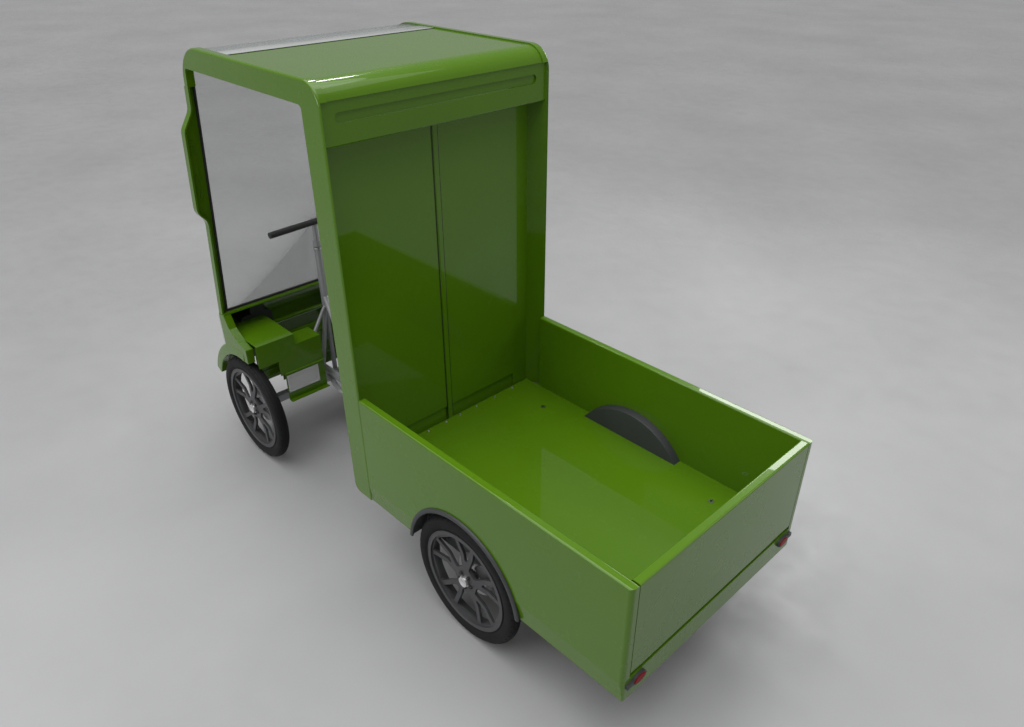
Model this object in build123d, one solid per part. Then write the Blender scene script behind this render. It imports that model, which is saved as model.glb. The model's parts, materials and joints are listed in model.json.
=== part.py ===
from build123d import *
import math
import os

os.makedirs("parts", exist_ok=True)

# All lengths are millimetres. +X is forward, +Y is the left side, +Z is up, and the tyres stand on Z = 0.

# Fits and clearances
RUNNING_FIT = 0.05
SEAT_GAP = 0.4
CUT = 1.0

# Load tray
BODY_HALF = 500.0
PANEL = 32.0
INNER_HALF = BODY_HALF - PANEL
REAR_FACE = -1358.0
BODY_BOTTOM = 309.0
TRAY_TOP = 796.0
FLOOR_TOP = 440.0
FLOOR_THICK = 18.0
FLOOR_BOTTOM = FLOOR_TOP - FLOOR_THICK
CREASE_HEIGHT = BODY_BOTTOM + 81.0
SKIRT_TUCK = 7.0
EDGE_ROUND = 7.0
CORNER_ROUND = 16.0
BOX_HOLES_LONG = 900.0
BOX_HOLES_WIDE = 700.0
BOX_HOLE_RADIUS = 5.5
GATE_LINE = FLOOR_BOTTOM - 18.0
GATE_THICK = 33.0
GATE_GAP = 5.0
GATE_SIDE_GAP = 3.0
GATE_PIN_RADIUS = 6.0
GATE_PIN_DEPTH = 14.0

# Cab
PILLAR_REAR = -48.0
PILLAR_FRONT = PILLAR_REAR + 112.0
PILLAR_ROUND = 9.0
FOOT_ROUND = 34.0
DOOR_ROUND = 16.0
ROOF_TOP = 1926.0
ROOF_CORNER = 88.0
RAIL_BOTTOM = ROOF_TOP - 81.0
ROOF_SUNK = 5.0
ROOF_SKIN = ROOF_TOP - ROOF_SUNK
ROOF_THICK = 14.0
HEADER_TOP = ROOF_TOP - 60.0
HEADER_BOTTOM = ROOF_TOP - 202.0
HEADER_REAR = PILLAR_REAR + 15.0
HEADER_SKIN = 14.0
SLOT_HEIGHT = HEADER_TOP - 55.0
SLOT_TALL = 34.0
SLOT_HALF = INNER_HALF - 26.0
SLOT_DEPTH = 7.0
BULKHEAD_REAR = PILLAR_FRONT - 22.0
BULKHEAD_THICK = 16.0
STILE_INNER = INNER_HALF - 84.0
PILLAR_LIP = 5.0
KICK_TALL = 62.0
KICK_DEEP = 7.0
POST_HALF = 12.0
POST_PROUD = 6.0
POST_DEPTH = 28.0
SCREEN_BASE_X = 1093.0
SCREEN_BASE = 747.0
SCREEN_LEAN = 9.336
SCREEN_THICK = 6.0
SCREEN_BEND = 140.0
SCREEN_TOP_X = SCREEN_BASE_X - (ROOF_SKIN - SCREEN_BASE) * math.tan(math.radians(SCREEN_LEAN))
ROOF_FRONT = SCREEN_TOP_X - 218.0
PILLAR_HEAD = RAIL_BOTTOM - 70.0
PILLAR_PROUD = 6.0
PILLAR_WALL = 8.0
PILLAR_DEPTH = 32.0
POD_LOW = ROOF_TOP - 664.0
POD_HIGH = POD_LOW + 350.0
POD_OUT = BODY_HALF + 40.0
POD_RAMP_LOW = 46.0
POD_RAMP_HIGH = 72.0
POD_ROUND = 60.0

# Wheels
TYRE_RADIUS = 267.0
TYRE_HALF = 28.0
BEAD_RADIUS = TYRE_RADIUS - 64.0
BEAD_HALF = 19.5
RIM_RADIUS = BEAD_RADIUS + 6.0
RIM_HALF = 23.0
RIM_BAND = 11.0
SPOKE_PAIRS = 5
SPOKE_WEB = 11.0
SPOKE_DISH = 9.0
BOSS_RADIUS = 44.0
BARREL_RADIUS = 24.0
CAP_RADIUS = 18.0
WHEEL_PLANE = BODY_HALF - 28.0
REAR_AXLE = -613.0
FRONT_AXLE = SCREEN_BASE_X - 126.0
AXLE_HEIGHT = TYRE_RADIUS
SPINDLE_RADIUS = 10.0
DISC_RADIUS = 90.0
DISC_FACE = WHEEL_PLANE - 38.0
DISC_THICK = 4.0
CALIPER_ANGLE = 135.0
CALIPER_ORBIT = DISC_RADIUS - 6.0
CALIPER_LONG = 56.0
CALIPER_WIDE = 40.0
CALIPER_TALL = 64.0
CALIPER_ROUND = 9.0
DISC_CLEAR = 6.0
BRACKET_FACE = DISC_FACE - 7.0
BRACKET_THICK = 11.0
BRACKET_RADIUS = 9.0

# Steering
KINGPIN_Y = WHEEL_PLANE - 84.0
KINGPIN_RADIUS = 10.0
EYE_RADIUS = 20.0
EYE_HEIGHT = 52.0
BEAM_HALF = 18.0
YOKE_GAP = 4.0
YOKE_HALF = 22.0
STEER_ARM = 110.0
ARM_BOTTOM = AXLE_HEIGHT - 42.0
ARM_THICK = 12.0
LINK_PIN_RADIUS = 6.0
LINK_EYE_RADIUS = 13.0
ROD_RADIUS = 8.0
ROD_HEIGHT = ARM_BOTTOM - 12.0
COLUMN_RADIUS = 12.0
COLUMN_AHEAD = 37.0
COLUMN_TOP = SCREEN_BASE + 353.0
HEAD_DROP = 140.0
HEAD_RADIUS = 18.0
HEAD_LENGTH = 320.0
BAR_HEIGHT = 1160.0
BAR_BACK = 182.0
BAR_HALF = 323.0
BAR_RADIUS = 11.0
BAR_SWEEP = 20.0
CLAMP_HALF = 15.0
CLAMP_RADIUS = 18.0
GRIP_LENGTH = 250.0
GRIP_RADIUS = 13.5

# Chassis
RAIL_Y = 80.0
RAIL_RADIUS = 19.0
RAIL_HEIGHT = BODY_BOTTOM + 21.0
RAIL_END = REAR_FACE + 68.0
BEARER_WIDE = 30.0
BEARER_TALL = 34.0
CROSS_RADIUS = 15.0
STRUT_RADIUS = 11.0
BOW_RADIUS = 13.0
BOW_REACH = 247.0
BOW_SPREAD = 56.0
STRUT_REACH = 327.0
AXLE_PAD_TOP = AXLE_HEIGHT + 33.0
HOUSING_RADIUS = 24.0
HOUSING_END = DISC_FACE - 10.0
BORE_DEPTH = 70.0
PAD_HALF = 30.0
DRIVE_LONG = 190.0
DRIVE_HALF = 54.0
DRIVE_DROP = 75.0
DRIVE_RISE = 85.0
DRIVE_ROUND = 30.0
BATTERY_LONG = 304.0
BATTERY_HALF = 56.0
BATTERY_DROP = 59.0
BATTERY_ROUND = 8.0
CRANK_X = 500.0
CRANK_HEIGHT = RAIL_HEIGHT + 75.0
CRANK_LENGTH = 150.0
CRANK_SHAFT = 9.0
UNIT_HALF = 48.0
UNIT_RADIUS = 60.0
UNIT_PLATE = 6.0
ARM_IN = 105.0
ARM_OUT = 118.0
ARM_ROOT = 17.0
ARM_TIP = 13.0
PEDAL_GAP = 6.0
PEDAL_WIDE = 88.0
PEDAL_HALF = 44.0
PEDAL_THICK = 22.0
SEAT_X = 235.0
SEAT_TOP = 930.0
SADDLE_TALL = 62.0
SADDLE_PLATE = 12.0
SADDLE_BACK = 125.0
SADDLE_NOSE = 145.0
SADDLE_HALF = 92.0
SADDLE_NOSE_HALF = 22.0
SADDLE_ROUND = 16.0
POST_RADIUS = 15.0
POST_SUNK = 160.0
MAST_RADIUS = 21.0
MAST_TOP = SEAT_TOP - 230.0

# Arches, nose and lamps
ARCH_RADIUS = TYRE_RADIUS + 33.0
ARCH_SKIN = 5.0
LIP_OUT = BODY_HALF + 28.0
LIP_TALL = 16.0
BOX_INNER = INNER_HALF - 38.0
NOSE_REAR = SCREEN_BASE_X - 33.0
NOSE_LENGTH = 277.0
NOSE_FRONT = SCREEN_BASE_X + NOSE_LENGTH
NOSE_WALL = 8.0
FENDER_RADIUS = TYRE_RADIUS + 18.0
FENDER_TALL = 55.0
FENDER_IN = BODY_HALF - 52.0
FENDER_OUT = BODY_HALF + 2.0
FENDER_BACK = 7.5
FENDER_TURN = 78.0
SHOULDER_IN = INNER_HALF - 4.0
SHOULDER_REAR = FRONT_AXLE - 74.0
WELL_REAR = FRONT_AXLE - 117.0
WELL_TOP = SCREEN_BASE - 103.0
WELL_SKIN = 4.0
WELL_MID = BODY_HALF - 225.0
WELL_LOW = BODY_HALF - 150.0
WELL_SWING = KINGPIN_Y - 16.0
WELL_OUT = BODY_HALF - 30.0
WELL_LIP = 24.0
WELL_OVER = AXLE_HEIGHT + TYRE_RADIUS - 4.0
BEAD_ROUND = 6.0
WELL_STEP = RAIL_Y + 60.0
STEP_TOP = WELL_TOP - 54.0
STEP_FRONT = FRONT_AXLE - 7.0
BEAD_HEIGHT = BODY_BOTTOM + 143.0
DASH_RADIUS = 11.0
LAMP_Y = BODY_HALF - 190.0
LAMP_HEIGHT = SCREEN_BASE - 130.0
LAMP_HALF = 72.0
LAMP_TALL = 66.0
LAMP_ROUND = 24.0
LAMP_FLANGE = 12.0
HUMP_WIDE = 78.0
HUMP_TALL = 82.0
HUMP_DEEP = 28.0
LAMP_REAR = SCREEN_BASE_X + 45.0
LAMP_SHOULDER = SCREEN_BASE_X + 127.0
LENS_THICK = 14.0
TAIL_Y = BODY_HALF - 75.0
TAIL_HEIGHT = BODY_BOTTOM + 62.0
TAIL_HALF = 33.0
TAIL_TALL = 20.0
TAIL_RIM = 5.0
TAIL_CASE = 9.0
TAIL_PROUD = 12.0

# Nose sections: distance ahead of the screen, narrowing a side, drop of the top, corner, rise of the base
NOSE_SECTIONS = (
    (12.0, 0.0, 0.0, 10.0, 0.0),
    (110.0, 34.0, 46.0, 40.0, 0.0),
    (215.0, 96.0, 112.0, 60.0, 0.0),
    (262.0, 150.0, 166.0, 72.0, 8.0),
    (NOSE_LENGTH, 200.0, 210.0, 78.0, 22.0),
)

pieces = {}


def block(x0, x1, y0, y1, z0, z1):
    return Pos((x0 + x1) / 2, (y0 + y1) / 2, (z0 + z1) / 2) * Box(x1 - x0, y1 - y0, z1 - z0)


def rod(start, end, radius):
    a = Vector(*start)
    b = Vector(*end)
    return extrude(Plane(origin=a, z_dir=b - a) * Circle(radius), (b - a).length)


def outline(*corners):
    points = [(u, v) for u, v, turn in corners]
    return make_face(FilletPolyline(*points, radius=[turn for u, v, turn in corners], close=True))


def plate(face, y0, y1):
    side = Plane(origin=(0, y1, 0), x_dir=(1, 0, 0), z_dir=(0, -1, 0))
    return extrude(side * face, y1 - y0)


def along(face, x0, x1):
    return extrude(Plane.YZ.offset(x0) * face, x1 - x0)


def disc(x, z, radius, y0, y1):
    return plate(Pos(x, z) * Circle(radius), y0, y1)


def upright(x, y, radius, z0, z1):
    return Pos(x, y, (z0 + z1) / 2) * Cylinder(radius, z1 - z0)


def flip(shape):
    return mirror(shape, about=Plane.XZ)


def keep(name, shape):
    pieces[name] = shape


def keep_pair(name, left):
    keep("left_" + name, left)
    keep("right_" + name, flip(left))


# The screen leans back on one straight line, which the front pillars follow.
slope = (SCREEN_BASE_X - SCREEN_TOP_X) / (ROOF_SKIN - SCREEN_BASE)


def screen_x(z):
    return SCREEN_BASE_X - (z - SCREEN_BASE) * slope


# Tray sides: folded in along the skirt, rounded at the top and the rear corner, cut out for the arch
gate_pivot_x = REAR_FACE + GATE_THICK / 2
gate_pivot_z = GATE_LINE + GATE_THICK / 2
side = along(outline(
    (INNER_HALF, BODY_BOTTOM, 0),
    (BODY_HALF - SKIRT_TUCK, BODY_BOTTOM, 0),
    (BODY_HALF, CREASE_HEIGHT, 0),
    (BODY_HALF, TRAY_TOP, EDGE_ROUND),
    (INNER_HALF, TRAY_TOP, EDGE_ROUND),
), REAR_FACE, PILLAR_REAR)
side_plan = outline(
    (REAR_FACE, INNER_HALF - CUT, 0),
    (PILLAR_REAR, INNER_HALF - CUT, 0),
    (PILLAR_REAR, BODY_HALF, 0),
    (REAR_FACE, BODY_HALF, CORNER_ROUND),
)
side = side & extrude(Pos(0, 0, BODY_BOTTOM) * side_plan, TRAY_TOP - BODY_BOTTOM)
side -= disc(REAR_AXLE, AXLE_HEIGHT, ARCH_RADIUS, INNER_HALF - CUT, BODY_HALF + CUT)
side -= disc(gate_pivot_x, gate_pivot_z, GATE_PIN_RADIUS + RUNNING_FIT,
             INNER_HALF - CUT, INNER_HALF + GATE_PIN_DEPTH + 2)
keep_pair("load_side", side)

# Floor with notches for the wheel boxes
floor_front = BULKHEAD_REAR - POST_PROUD
floor_rear = REAR_FACE + GATE_THICK + GATE_GAP
floor = block(floor_rear, floor_front, -INNER_HALF, INNER_HALF, FLOOR_BOTTOM, FLOOR_TOP)
notch = disc(REAR_AXLE, AXLE_HEIGHT, ARCH_RADIUS, BOX_INNER - SEAT_GAP, INNER_HALF + CUT)
floor -= notch
floor -= flip(notch)
hole_middle = REAR_AXLE - 27
for x in (hole_middle - BOX_HOLES_LONG / 2, hole_middle + BOX_HOLES_LONG / 2):
    for y in (-BOX_HOLES_WIDE / 2, BOX_HOLES_WIDE / 2):
        floor -= Pos(x, y, FLOOR_TOP) * Cylinder(BOX_HOLE_RADIUS, 3 * FLOOR_THICK)
keep("load_floor", floor)

# Fixed skirt and drop-down tailgate
skirt = block(REAR_FACE, REAR_FACE + GATE_THICK, -INNER_HALF, INNER_HALF, BODY_BOTTOM, GATE_LINE - GATE_GAP)
keep("rear_skirt", skirt)
gate_half = INNER_HALF - GATE_SIDE_GAP
gate = plate(outline(
    (REAR_FACE, gate_pivot_z, 0),
    (REAR_FACE, TRAY_TOP, EDGE_ROUND),
    (REAR_FACE + GATE_THICK, TRAY_TOP, EDGE_ROUND),
    (REAR_FACE + GATE_THICK, gate_pivot_z, 0),
), -gate_half, gate_half)
gate += disc(gate_pivot_x, gate_pivot_z, GATE_THICK / 2, -gate_half, gate_half)
pin_end = INNER_HALF + GATE_PIN_DEPTH
gate += disc(gate_pivot_x, gate_pivot_z, GATE_PIN_RADIUS, -pin_end, pin_end)
keep("tailgate", gate)

# Bulkhead panels either side of a rounded centre post
panel_front = BULKHEAD_REAR + BULKHEAD_THICK
panel = block(BULKHEAD_REAR, panel_front, POST_HALF, STILE_INNER, FLOOR_BOTTOM, HEADER_BOTTOM)
panel -= block(BULKHEAD_REAR - CUT, BULKHEAD_REAR + KICK_DEEP, POST_HALF - CUT, STILE_INNER + CUT,
               FLOOR_BOTTOM - CUT, FLOOR_TOP + KICK_TALL)
keep_pair("bulkhead_panel", panel)
post_rear = BULKHEAD_REAR - POST_PROUD
post = extrude(Pos(0, 0, FLOOR_BOTTOM) * outline(
    (post_rear, -POST_HALF, 5),
    (post_rear + POST_DEPTH, -POST_HALF, 5),
    (post_rear + POST_DEPTH, POST_HALF, 5),
    (post_rear, POST_HALF, 5),
), HEADER_BOTTOM - FLOOR_BOTTOM)
keep("bulkhead_post", post)

# Cab side frames: rear pillar and roof rail in one bent panel, and a front pillar folded from sheet
rail = plate(outline(
    (PILLAR_REAR, BODY_BOTTOM, 0),
    (PILLAR_FRONT, BODY_BOTTOM, FOOT_ROUND),
    (PILLAR_FRONT, RAIL_BOTTOM, DOOR_ROUND),
    (screen_x(RAIL_BOTTOM) + PILLAR_PROUD - PILLAR_DEPTH, RAIL_BOTTOM, DOOR_ROUND),
    (screen_x(PILLAR_HEAD) + PILLAR_PROUD - PILLAR_DEPTH, PILLAR_HEAD, 0),
    (screen_x(PILLAR_HEAD) + PILLAR_PROUD, PILLAR_HEAD, 0),
    (screen_x(ROOF_TOP) + PILLAR_PROUD, ROOF_TOP, SCREEN_BEND + PILLAR_PROUD),
    (PILLAR_REAR, ROOF_TOP, ROOF_CORNER),
), INNER_HALF, BODY_HALF)
outer_edges = rail.faces().sort_by(Axis.Y)[-1].outer_wire().edges()
high_edges = outer_edges.filter_by(lambda e: e.center().Z > RAIL_BOTTOM + CUT)
rear_edges = outer_edges.filter_by(lambda e: e.center().X < PILLAR_REAR + CUT)
rail = fillet(ShapeList(set(high_edges + rear_edges)), PILLAR_ROUND)
wedge = extrude(Pos(0, 0, BODY_BOTTOM - CUT) * outline(
    (BULKHEAD_REAR, INNER_HALF, 0),
    (PILLAR_REAR, BODY_HALF - PILLAR_LIP, 0),
    (PILLAR_REAR - CUT, BODY_HALF - PILLAR_LIP, 0),
    (PILLAR_REAR - CUT, INNER_HALF - CUT, 0),
    (BULKHEAD_REAR, INNER_HALF - CUT, 0),
), HEADER_TOP - BODY_BOTTOM + CUT)
rail -= wedge


def pillar_edge(inset):
    grow = POD_ROUND + inset
    shrink = POD_ROUND - inset
    return (
        (BODY_HALF - inset, SCREEN_BASE, 0),
        (BODY_HALF - inset, POD_LOW - POD_RAMP_LOW, grow),
        (POD_OUT - inset, POD_LOW, shrink),
        (POD_OUT - inset, POD_HIGH, shrink),
        (BODY_HALF - inset, POD_HIGH + POD_RAMP_HIGH, grow),
        (BODY_HALF - inset, PILLAR_HEAD + CUT, 0),
    )


def pillar_strip(depth):
    front_low = screen_x(SCREEN_BASE) + PILLAR_PROUD
    front_high = screen_x(PILLAR_HEAD + CUT) + PILLAR_PROUD
    return plate(outline(
        (front_low, SCREEN_BASE, 0),
        (front_low - depth, SCREEN_BASE, 0),
        (front_high - depth, PILLAR_HEAD + CUT, 0),
        (front_high, PILLAR_HEAD + CUT, 0),
    ), 0, POD_OUT)


front_wall = outline((INNER_HALF, SCREEN_BASE, 0), *pillar_edge(0.0), (INNER_HALF, PILLAR_HEAD + CUT, 0))
side_wall = outline(*pillar_edge(0.0), *reversed(pillar_edge(PILLAR_WALL)))
pillar = along(front_wall, SCREEN_TOP_X - 100, NOSE_FRONT) & pillar_strip(PILLAR_WALL)
pillar += along(side_wall, SCREEN_TOP_X - 100, NOSE_FRONT) & pillar_strip(PILLAR_DEPTH)
stile = block(BULKHEAD_REAR, PILLAR_FRONT, STILE_INNER, INNER_HALF + CUT, FLOOR_BOTTOM, HEADER_BOTTOM)
keep_pair("cab_frame", rail + pillar + stile)

# Roof skin between the rails, rolled down at the rear to a lip over the header
roll_x = PILLAR_REAR + ROOF_CORNER
roll_z = ROOF_TOP - ROOF_CORNER
roll_out = ROOF_CORNER - ROOF_SUNK
roll_in = roll_out - ROOF_THICK


def roll(radius):
    lip = (roll_x - math.sqrt(radius ** 2 - (HEADER_TOP - roll_z) ** 2), HEADER_TOP)
    top = (roll_x, roll_z + radius)
    return lip, RadiusArc(lip, top, radius), top


lip_out, arc_out, top_out = roll(roll_out)
lip_in, arc_in, top_in = roll(roll_in)
roof_face = make_face([
    arc_out,
    Line(top_out, (ROOF_FRONT, ROOF_SKIN)),
    Line((ROOF_FRONT, ROOF_SKIN), (ROOF_FRONT, ROOF_SKIN - ROOF_THICK)),
    Line((ROOF_FRONT, ROOF_SKIN - ROOF_THICK), top_in),
    arc_in,
    Line(lip_in, lip_out),
])
keep("roof_panel", plate(roof_face, -INNER_HALF, INNER_HALF))
header = plate(outline(
    (HEADER_REAR, HEADER_TOP, 0),
    (HEADER_REAR, HEADER_BOTTOM, EDGE_ROUND),
    (panel_front, HEADER_BOTTOM, 0),
    (panel_front, HEADER_BOTTOM + HEADER_SKIN, 0),
    (HEADER_REAR + HEADER_SKIN, HEADER_BOTTOM + HEADER_SKIN, 0),
    (HEADER_REAR + HEADER_SKIN, HEADER_TOP, 0),
), -BODY_HALF, BODY_HALF)
taper = (PANEL - PILLAR_LIP) / (BULKHEAD_REAR - PILLAR_REAR)
header_half = INNER_HALF + (BULKHEAD_REAR - HEADER_REAR) * taper
header_plan = outline(
    (HEADER_REAR, -header_half, 0),
    (HEADER_REAR, header_half, 0),
    (BULKHEAD_REAR, INNER_HALF, 0),
    (panel_front, INNER_HALF, 0),
    (panel_front, -INNER_HALF, 0),
    (BULKHEAD_REAR, -INNER_HALF, 0),
)
header = header & extrude(Pos(0, 0, HEADER_BOTTOM) * header_plan, HEADER_TOP - HEADER_BOTTOM)
slot = Pos(0, SLOT_HEIGHT) * RectangleRounded(2 * SLOT_HALF, SLOT_TALL, SLOT_TALL / 2 - 1)
header -= along(slot, HEADER_REAR - CUT, HEADER_REAR + SLOT_DEPTH)
keep("rear_header", header)

# Windscreen, bent over at the top into the roof glazing
screen_face = outline(
    (ROOF_FRONT, ROOF_SKIN, 0),
    (SCREEN_TOP_X, ROOF_SKIN, SCREEN_BEND),
    (SCREEN_BASE_X, SCREEN_BASE, 0),
    (SCREEN_BASE_X - SCREEN_THICK, SCREEN_BASE, 0),
    (screen_x(ROOF_SKIN - SCREEN_THICK) - SCREEN_THICK, ROOF_SKIN - SCREEN_THICK, SCREEN_BEND - SCREEN_THICK),
    (ROOF_FRONT, ROOF_SKIN - SCREEN_THICK, 0),
)
keep("windscreen", plate(screen_face, -INNER_HALF, INNER_HALF))


# Hollow nose: a straight collar under the screen, lofted forward through rounded sections
def nose_section(inset, narrowing, drop, turn, rise):
    half = BODY_HALF - narrowing - inset
    top = SCREEN_BASE - drop - inset
    low = BODY_BOTTOM + rise - (CUT if inset else 0)
    return outline((-half, low, 0), (half, low, 0), (half, top, turn), (-half, top, turn))


def nose_form(inset):
    stations = []
    for ahead, narrowing, drop, turn, rise in NOSE_SECTIONS:
        back = inset if ahead == NOSE_LENGTH else 0
        x = SCREEN_BASE_X + ahead - back
        stations.append(Plane.YZ.offset(x) * nose_section(inset, narrowing, drop, turn, 0 if inset else rise))
    first = NOSE_SECTIONS[0]
    start = NOSE_REAR - (CUT if inset else 0)
    collar = along(nose_section(inset, *first[1:]), start, SCREEN_BASE_X + first[0])
    return collar + loft(stations)


nose_outer = nose_form(0.0)
nose_hollow = nose_form(NOSE_WALL)
nose = nose_outer - nose_hollow
nose_arch = disc(FRONT_AXLE, AXLE_HEIGHT, ARCH_RADIUS, WELL_MID, BODY_HALF + CUT)
nose -= nose_arch
nose -= flip(nose_arch)

# Headlamps: a lens following the nose, and a housing behind it that widens inside the nose
lens_box = along(Pos(LAMP_Y, LAMP_HEIGHT) * RectangleRounded(2 * LAMP_HALF, LAMP_TALL, LAMP_ROUND),
                 LAMP_SHOULDER - CUT, NOSE_FRONT + CUT)
lamp_hole = along(Pos(LAMP_Y, LAMP_HEIGHT) * RectangleRounded(
    2 * (LAMP_HALF + SEAT_GAP), LAMP_TALL + 2 * SEAT_GAP, LAMP_ROUND + SEAT_GAP),
    LAMP_SHOULDER - CUT, NOSE_FRONT + CUT)
keep_pair("headlamp_lens", (lens_box & nose_outer) - nose_form(LENS_THICK))
lamp_back = along(Pos(LAMP_Y, LAMP_HEIGHT) * RectangleRounded(
    2 * (LAMP_HALF + LAMP_FLANGE), LAMP_TALL + 2 * LAMP_FLANGE, LAMP_ROUND + LAMP_FLANGE / 2),
    LAMP_REAR, LAMP_SHOULDER)
lamp_hump = along(Pos(LAMP_Y - LAMP_FLANGE, LAMP_HEIGHT + HUMP_TALL / 2) * RectangleRounded(
    HUMP_WIDE, HUMP_TALL, LAMP_FLANGE), LAMP_REAR, LAMP_REAR + HUMP_DEEP)
lamp = lamp_back + lamp_hump + (lens_box & nose_form(LENS_THICK + SEAT_GAP))
keep_pair("headlamp", lamp)
nose -= lamp_hole
nose -= flip(lamp_hole)
keep("nose_shell", nose)

# Front fenders: a flared arch turned about the axle, with a shoulder that runs forward into the nose
flare = outline(
    (FENDER_IN, FENDER_RADIUS, 0),
    (FENDER_OUT, FENDER_RADIUS, 3),
    (FENDER_OUT, FENDER_RADIUS + 14, 6),
    (BODY_HALF, FENDER_RADIUS + FENDER_TALL, 12),
    (FENDER_IN, FENDER_RADIUS + FENDER_TALL, 0),
)
arch_ring = Rot(0, -FENDER_BACK, 0) * revolve(Plane.YZ * flare, Axis.Y, FENDER_TURN)
fender = Pos(FRONT_AXLE, 0, AXLE_HEIGHT) * arch_ring
shoulder = plate(outline(
    (SHOULDER_REAR, AXLE_HEIGHT + FENDER_RADIUS, 0),
    (SHOULDER_REAR, WELL_TOP - 22, 8),
    (FRONT_AXLE - 10, WELL_TOP - 6, 40),
    (NOSE_REAR - 32, SCREEN_BASE - 64, 30),
    (NOSE_REAR, SCREEN_BASE - 8, 0),
    (NOSE_REAR, AXLE_HEIGHT + FENDER_RADIUS, 0),
), SHOULDER_IN, BODY_HALF)
shoulder -= disc(FRONT_AXLE, AXLE_HEIGHT, FENDER_RADIUS + CUT, SHOULDER_IN - CUT, BODY_HALF + CUT)
fender += shoulder
fender -= nose_outer
keep_pair("front_fender", fender)

# Wheel wells inboard of the fenders: stepped rear panels, a top shelf, a bead, a lip and half a dash rail
shelf_front = LAMP_REAR - 2
well = block(WELL_REAR, WELL_REAR + WELL_SKIN, WELL_MID, WELL_OUT, WELL_OVER, WELL_TOP)
well += block(WELL_REAR, WELL_REAR + WELL_SKIN, WELL_MID, WELL_SWING, BEAD_HEIGHT, WELL_OVER)
well += block(WELL_REAR, shelf_front, WELL_MID, SHOULDER_IN, WELL_TOP - WELL_SKIN, WELL_TOP)
well += block(WELL_REAR, shelf_front, WELL_MID, WELL_MID + WELL_SKIN, BEAD_HEIGHT, WELL_TOP)
well += block(WELL_REAR, WELL_REAR + WELL_SKIN, WELL_STEP, WELL_MID + WELL_SKIN, BODY_BOTTOM, STEP_TOP)
well += block(WELL_REAR, STEP_FRONT, WELL_STEP, WELL_MID + WELL_SKIN, STEP_TOP - WELL_SKIN, STEP_TOP)
well += block(WELL_REAR, STEP_FRONT, WELL_STEP, WELL_STEP + WELL_SKIN, RAIL_HEIGHT, STEP_TOP)
well += block(WELL_REAR, WELL_REAR + WELL_SKIN, WELL_MID, WELL_LOW, BODY_BOTTOM, BEAD_HEIGHT)
bead = Pos(WELL_REAR, 0, BEAD_HEIGHT) * extrude(Plane.XZ * Circle(BEAD_ROUND), WELL_STEP - WELL_LOW)
well += Pos(0, WELL_STEP, 0) * bead
well += block(WELL_REAR - WELL_LIP, WELL_REAR + WELL_SKIN, WELL_STEP, WELL_LOW,
              BODY_BOTTOM - WELL_SKIN, BODY_BOTTOM)
dash_x = LAMP_REAR - 15
well += rod((dash_x, 0, STEP_TOP), (dash_x, WELL_MID + CUT, STEP_TOP), DASH_RADIUS)
keep_pair("front_well", well)

# Tail lamps: an oval lens in a dark case, on an arm from the side panel
case = along(Pos(TAIL_Y, TAIL_HEIGHT) * Ellipse(TAIL_HALF, TAIL_TALL), REAR_FACE - TAIL_CASE, REAR_FACE)
case += block(REAR_FACE - TAIL_CASE, REAR_FACE, TAIL_Y + TAIL_HALF - 10, BODY_HALF - CORNER_ROUND,
              TAIL_HEIGHT - 8, TAIL_HEIGHT + 8)
lens_half = TAIL_HALF - TAIL_RIM
lens_tall = TAIL_TALL - TAIL_RIM
case -= along(Pos(TAIL_Y, TAIL_HEIGHT) * Ellipse(lens_half + SEAT_GAP, lens_tall + SEAT_GAP),
              REAR_FACE - TAIL_CASE - CUT, REAR_FACE - TAIL_RIM)
keep_pair("tail_lamp", case)
tail_lens = along(Pos(TAIL_Y, TAIL_HEIGHT) * Ellipse(lens_half, lens_tall),
                  REAR_FACE - TAIL_PROUD, REAR_FACE - TAIL_RIM)
tail_lens = fillet(tail_lens.faces().sort_by(Axis.X)[0].edges(), 3)
keep_pair("tail_lens", tail_lens)

# Rear arch liners: lip outside the body, half-drum box inside the tray
arch_outer = ARCH_RADIUS - SEAT_GAP
arch_inner = arch_outer - ARCH_SKIN
arch = disc(REAR_AXLE, AXLE_HEIGHT, arch_outer, BOX_INNER, LIP_OUT)
lip = disc(REAR_AXLE, AXLE_HEIGHT, arch_outer + LIP_TALL, BODY_HALF, LIP_OUT)
arch += fillet(lip.edges().filter_by(GeomType.CIRCLE).sort_by(Axis.Y)[-1], 6)
arch -= disc(REAR_AXLE, AXLE_HEIGHT, arch_inner, BOX_INNER + WELL_SKIN, LIP_OUT + CUT)
below = 2 * ARCH_RADIUS
arch -= block(REAR_AXLE - below, REAR_AXLE + below, BOX_INNER - CUT, LIP_OUT + CUT, -below, BODY_BOTTOM)
arch -= block(REAR_AXLE - below, REAR_AXLE + below, BOX_INNER - CUT, BOX_INNER + WELL_SKIN,
              -below, FLOOR_BOTTOM)
keep_pair("rear_arch", arch)

# Chassis: two main tubes, cross tubes, floor bearers, seat mast
column_x = FRONT_AXLE + COLUMN_AHEAD
head_high = COLUMN_TOP - HEAD_DROP
head_low = head_high - HEAD_LENGTH
bow_x = FRONT_AXLE - BOW_REACH
bow_y = RAIL_Y + BOW_SPREAD
half_frame = rod((RAIL_END, RAIL_Y, RAIL_HEIGHT), (FRONT_AXLE + BEAM_HALF, RAIL_Y, RAIL_HEIGHT), RAIL_RADIUS)
bearers = (BULKHEAD_REAR - 22, REAR_AXLE + 373, REAR_AXLE - 387, REAR_FACE + 128)
for x in bearers:
    half_frame += block(x, x + BEARER_WIDE, 0, INNER_HALF, FLOOR_BOTTOM - BEARER_TALL, FLOOR_BOTTOM)
    half_frame += block(x, x + BEARER_WIDE, RAIL_Y - CROSS_RADIUS, RAIL_Y + CROSS_RADIUS,
                        RAIL_HEIGHT, FLOOR_BOTTOM - CUT)
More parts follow.
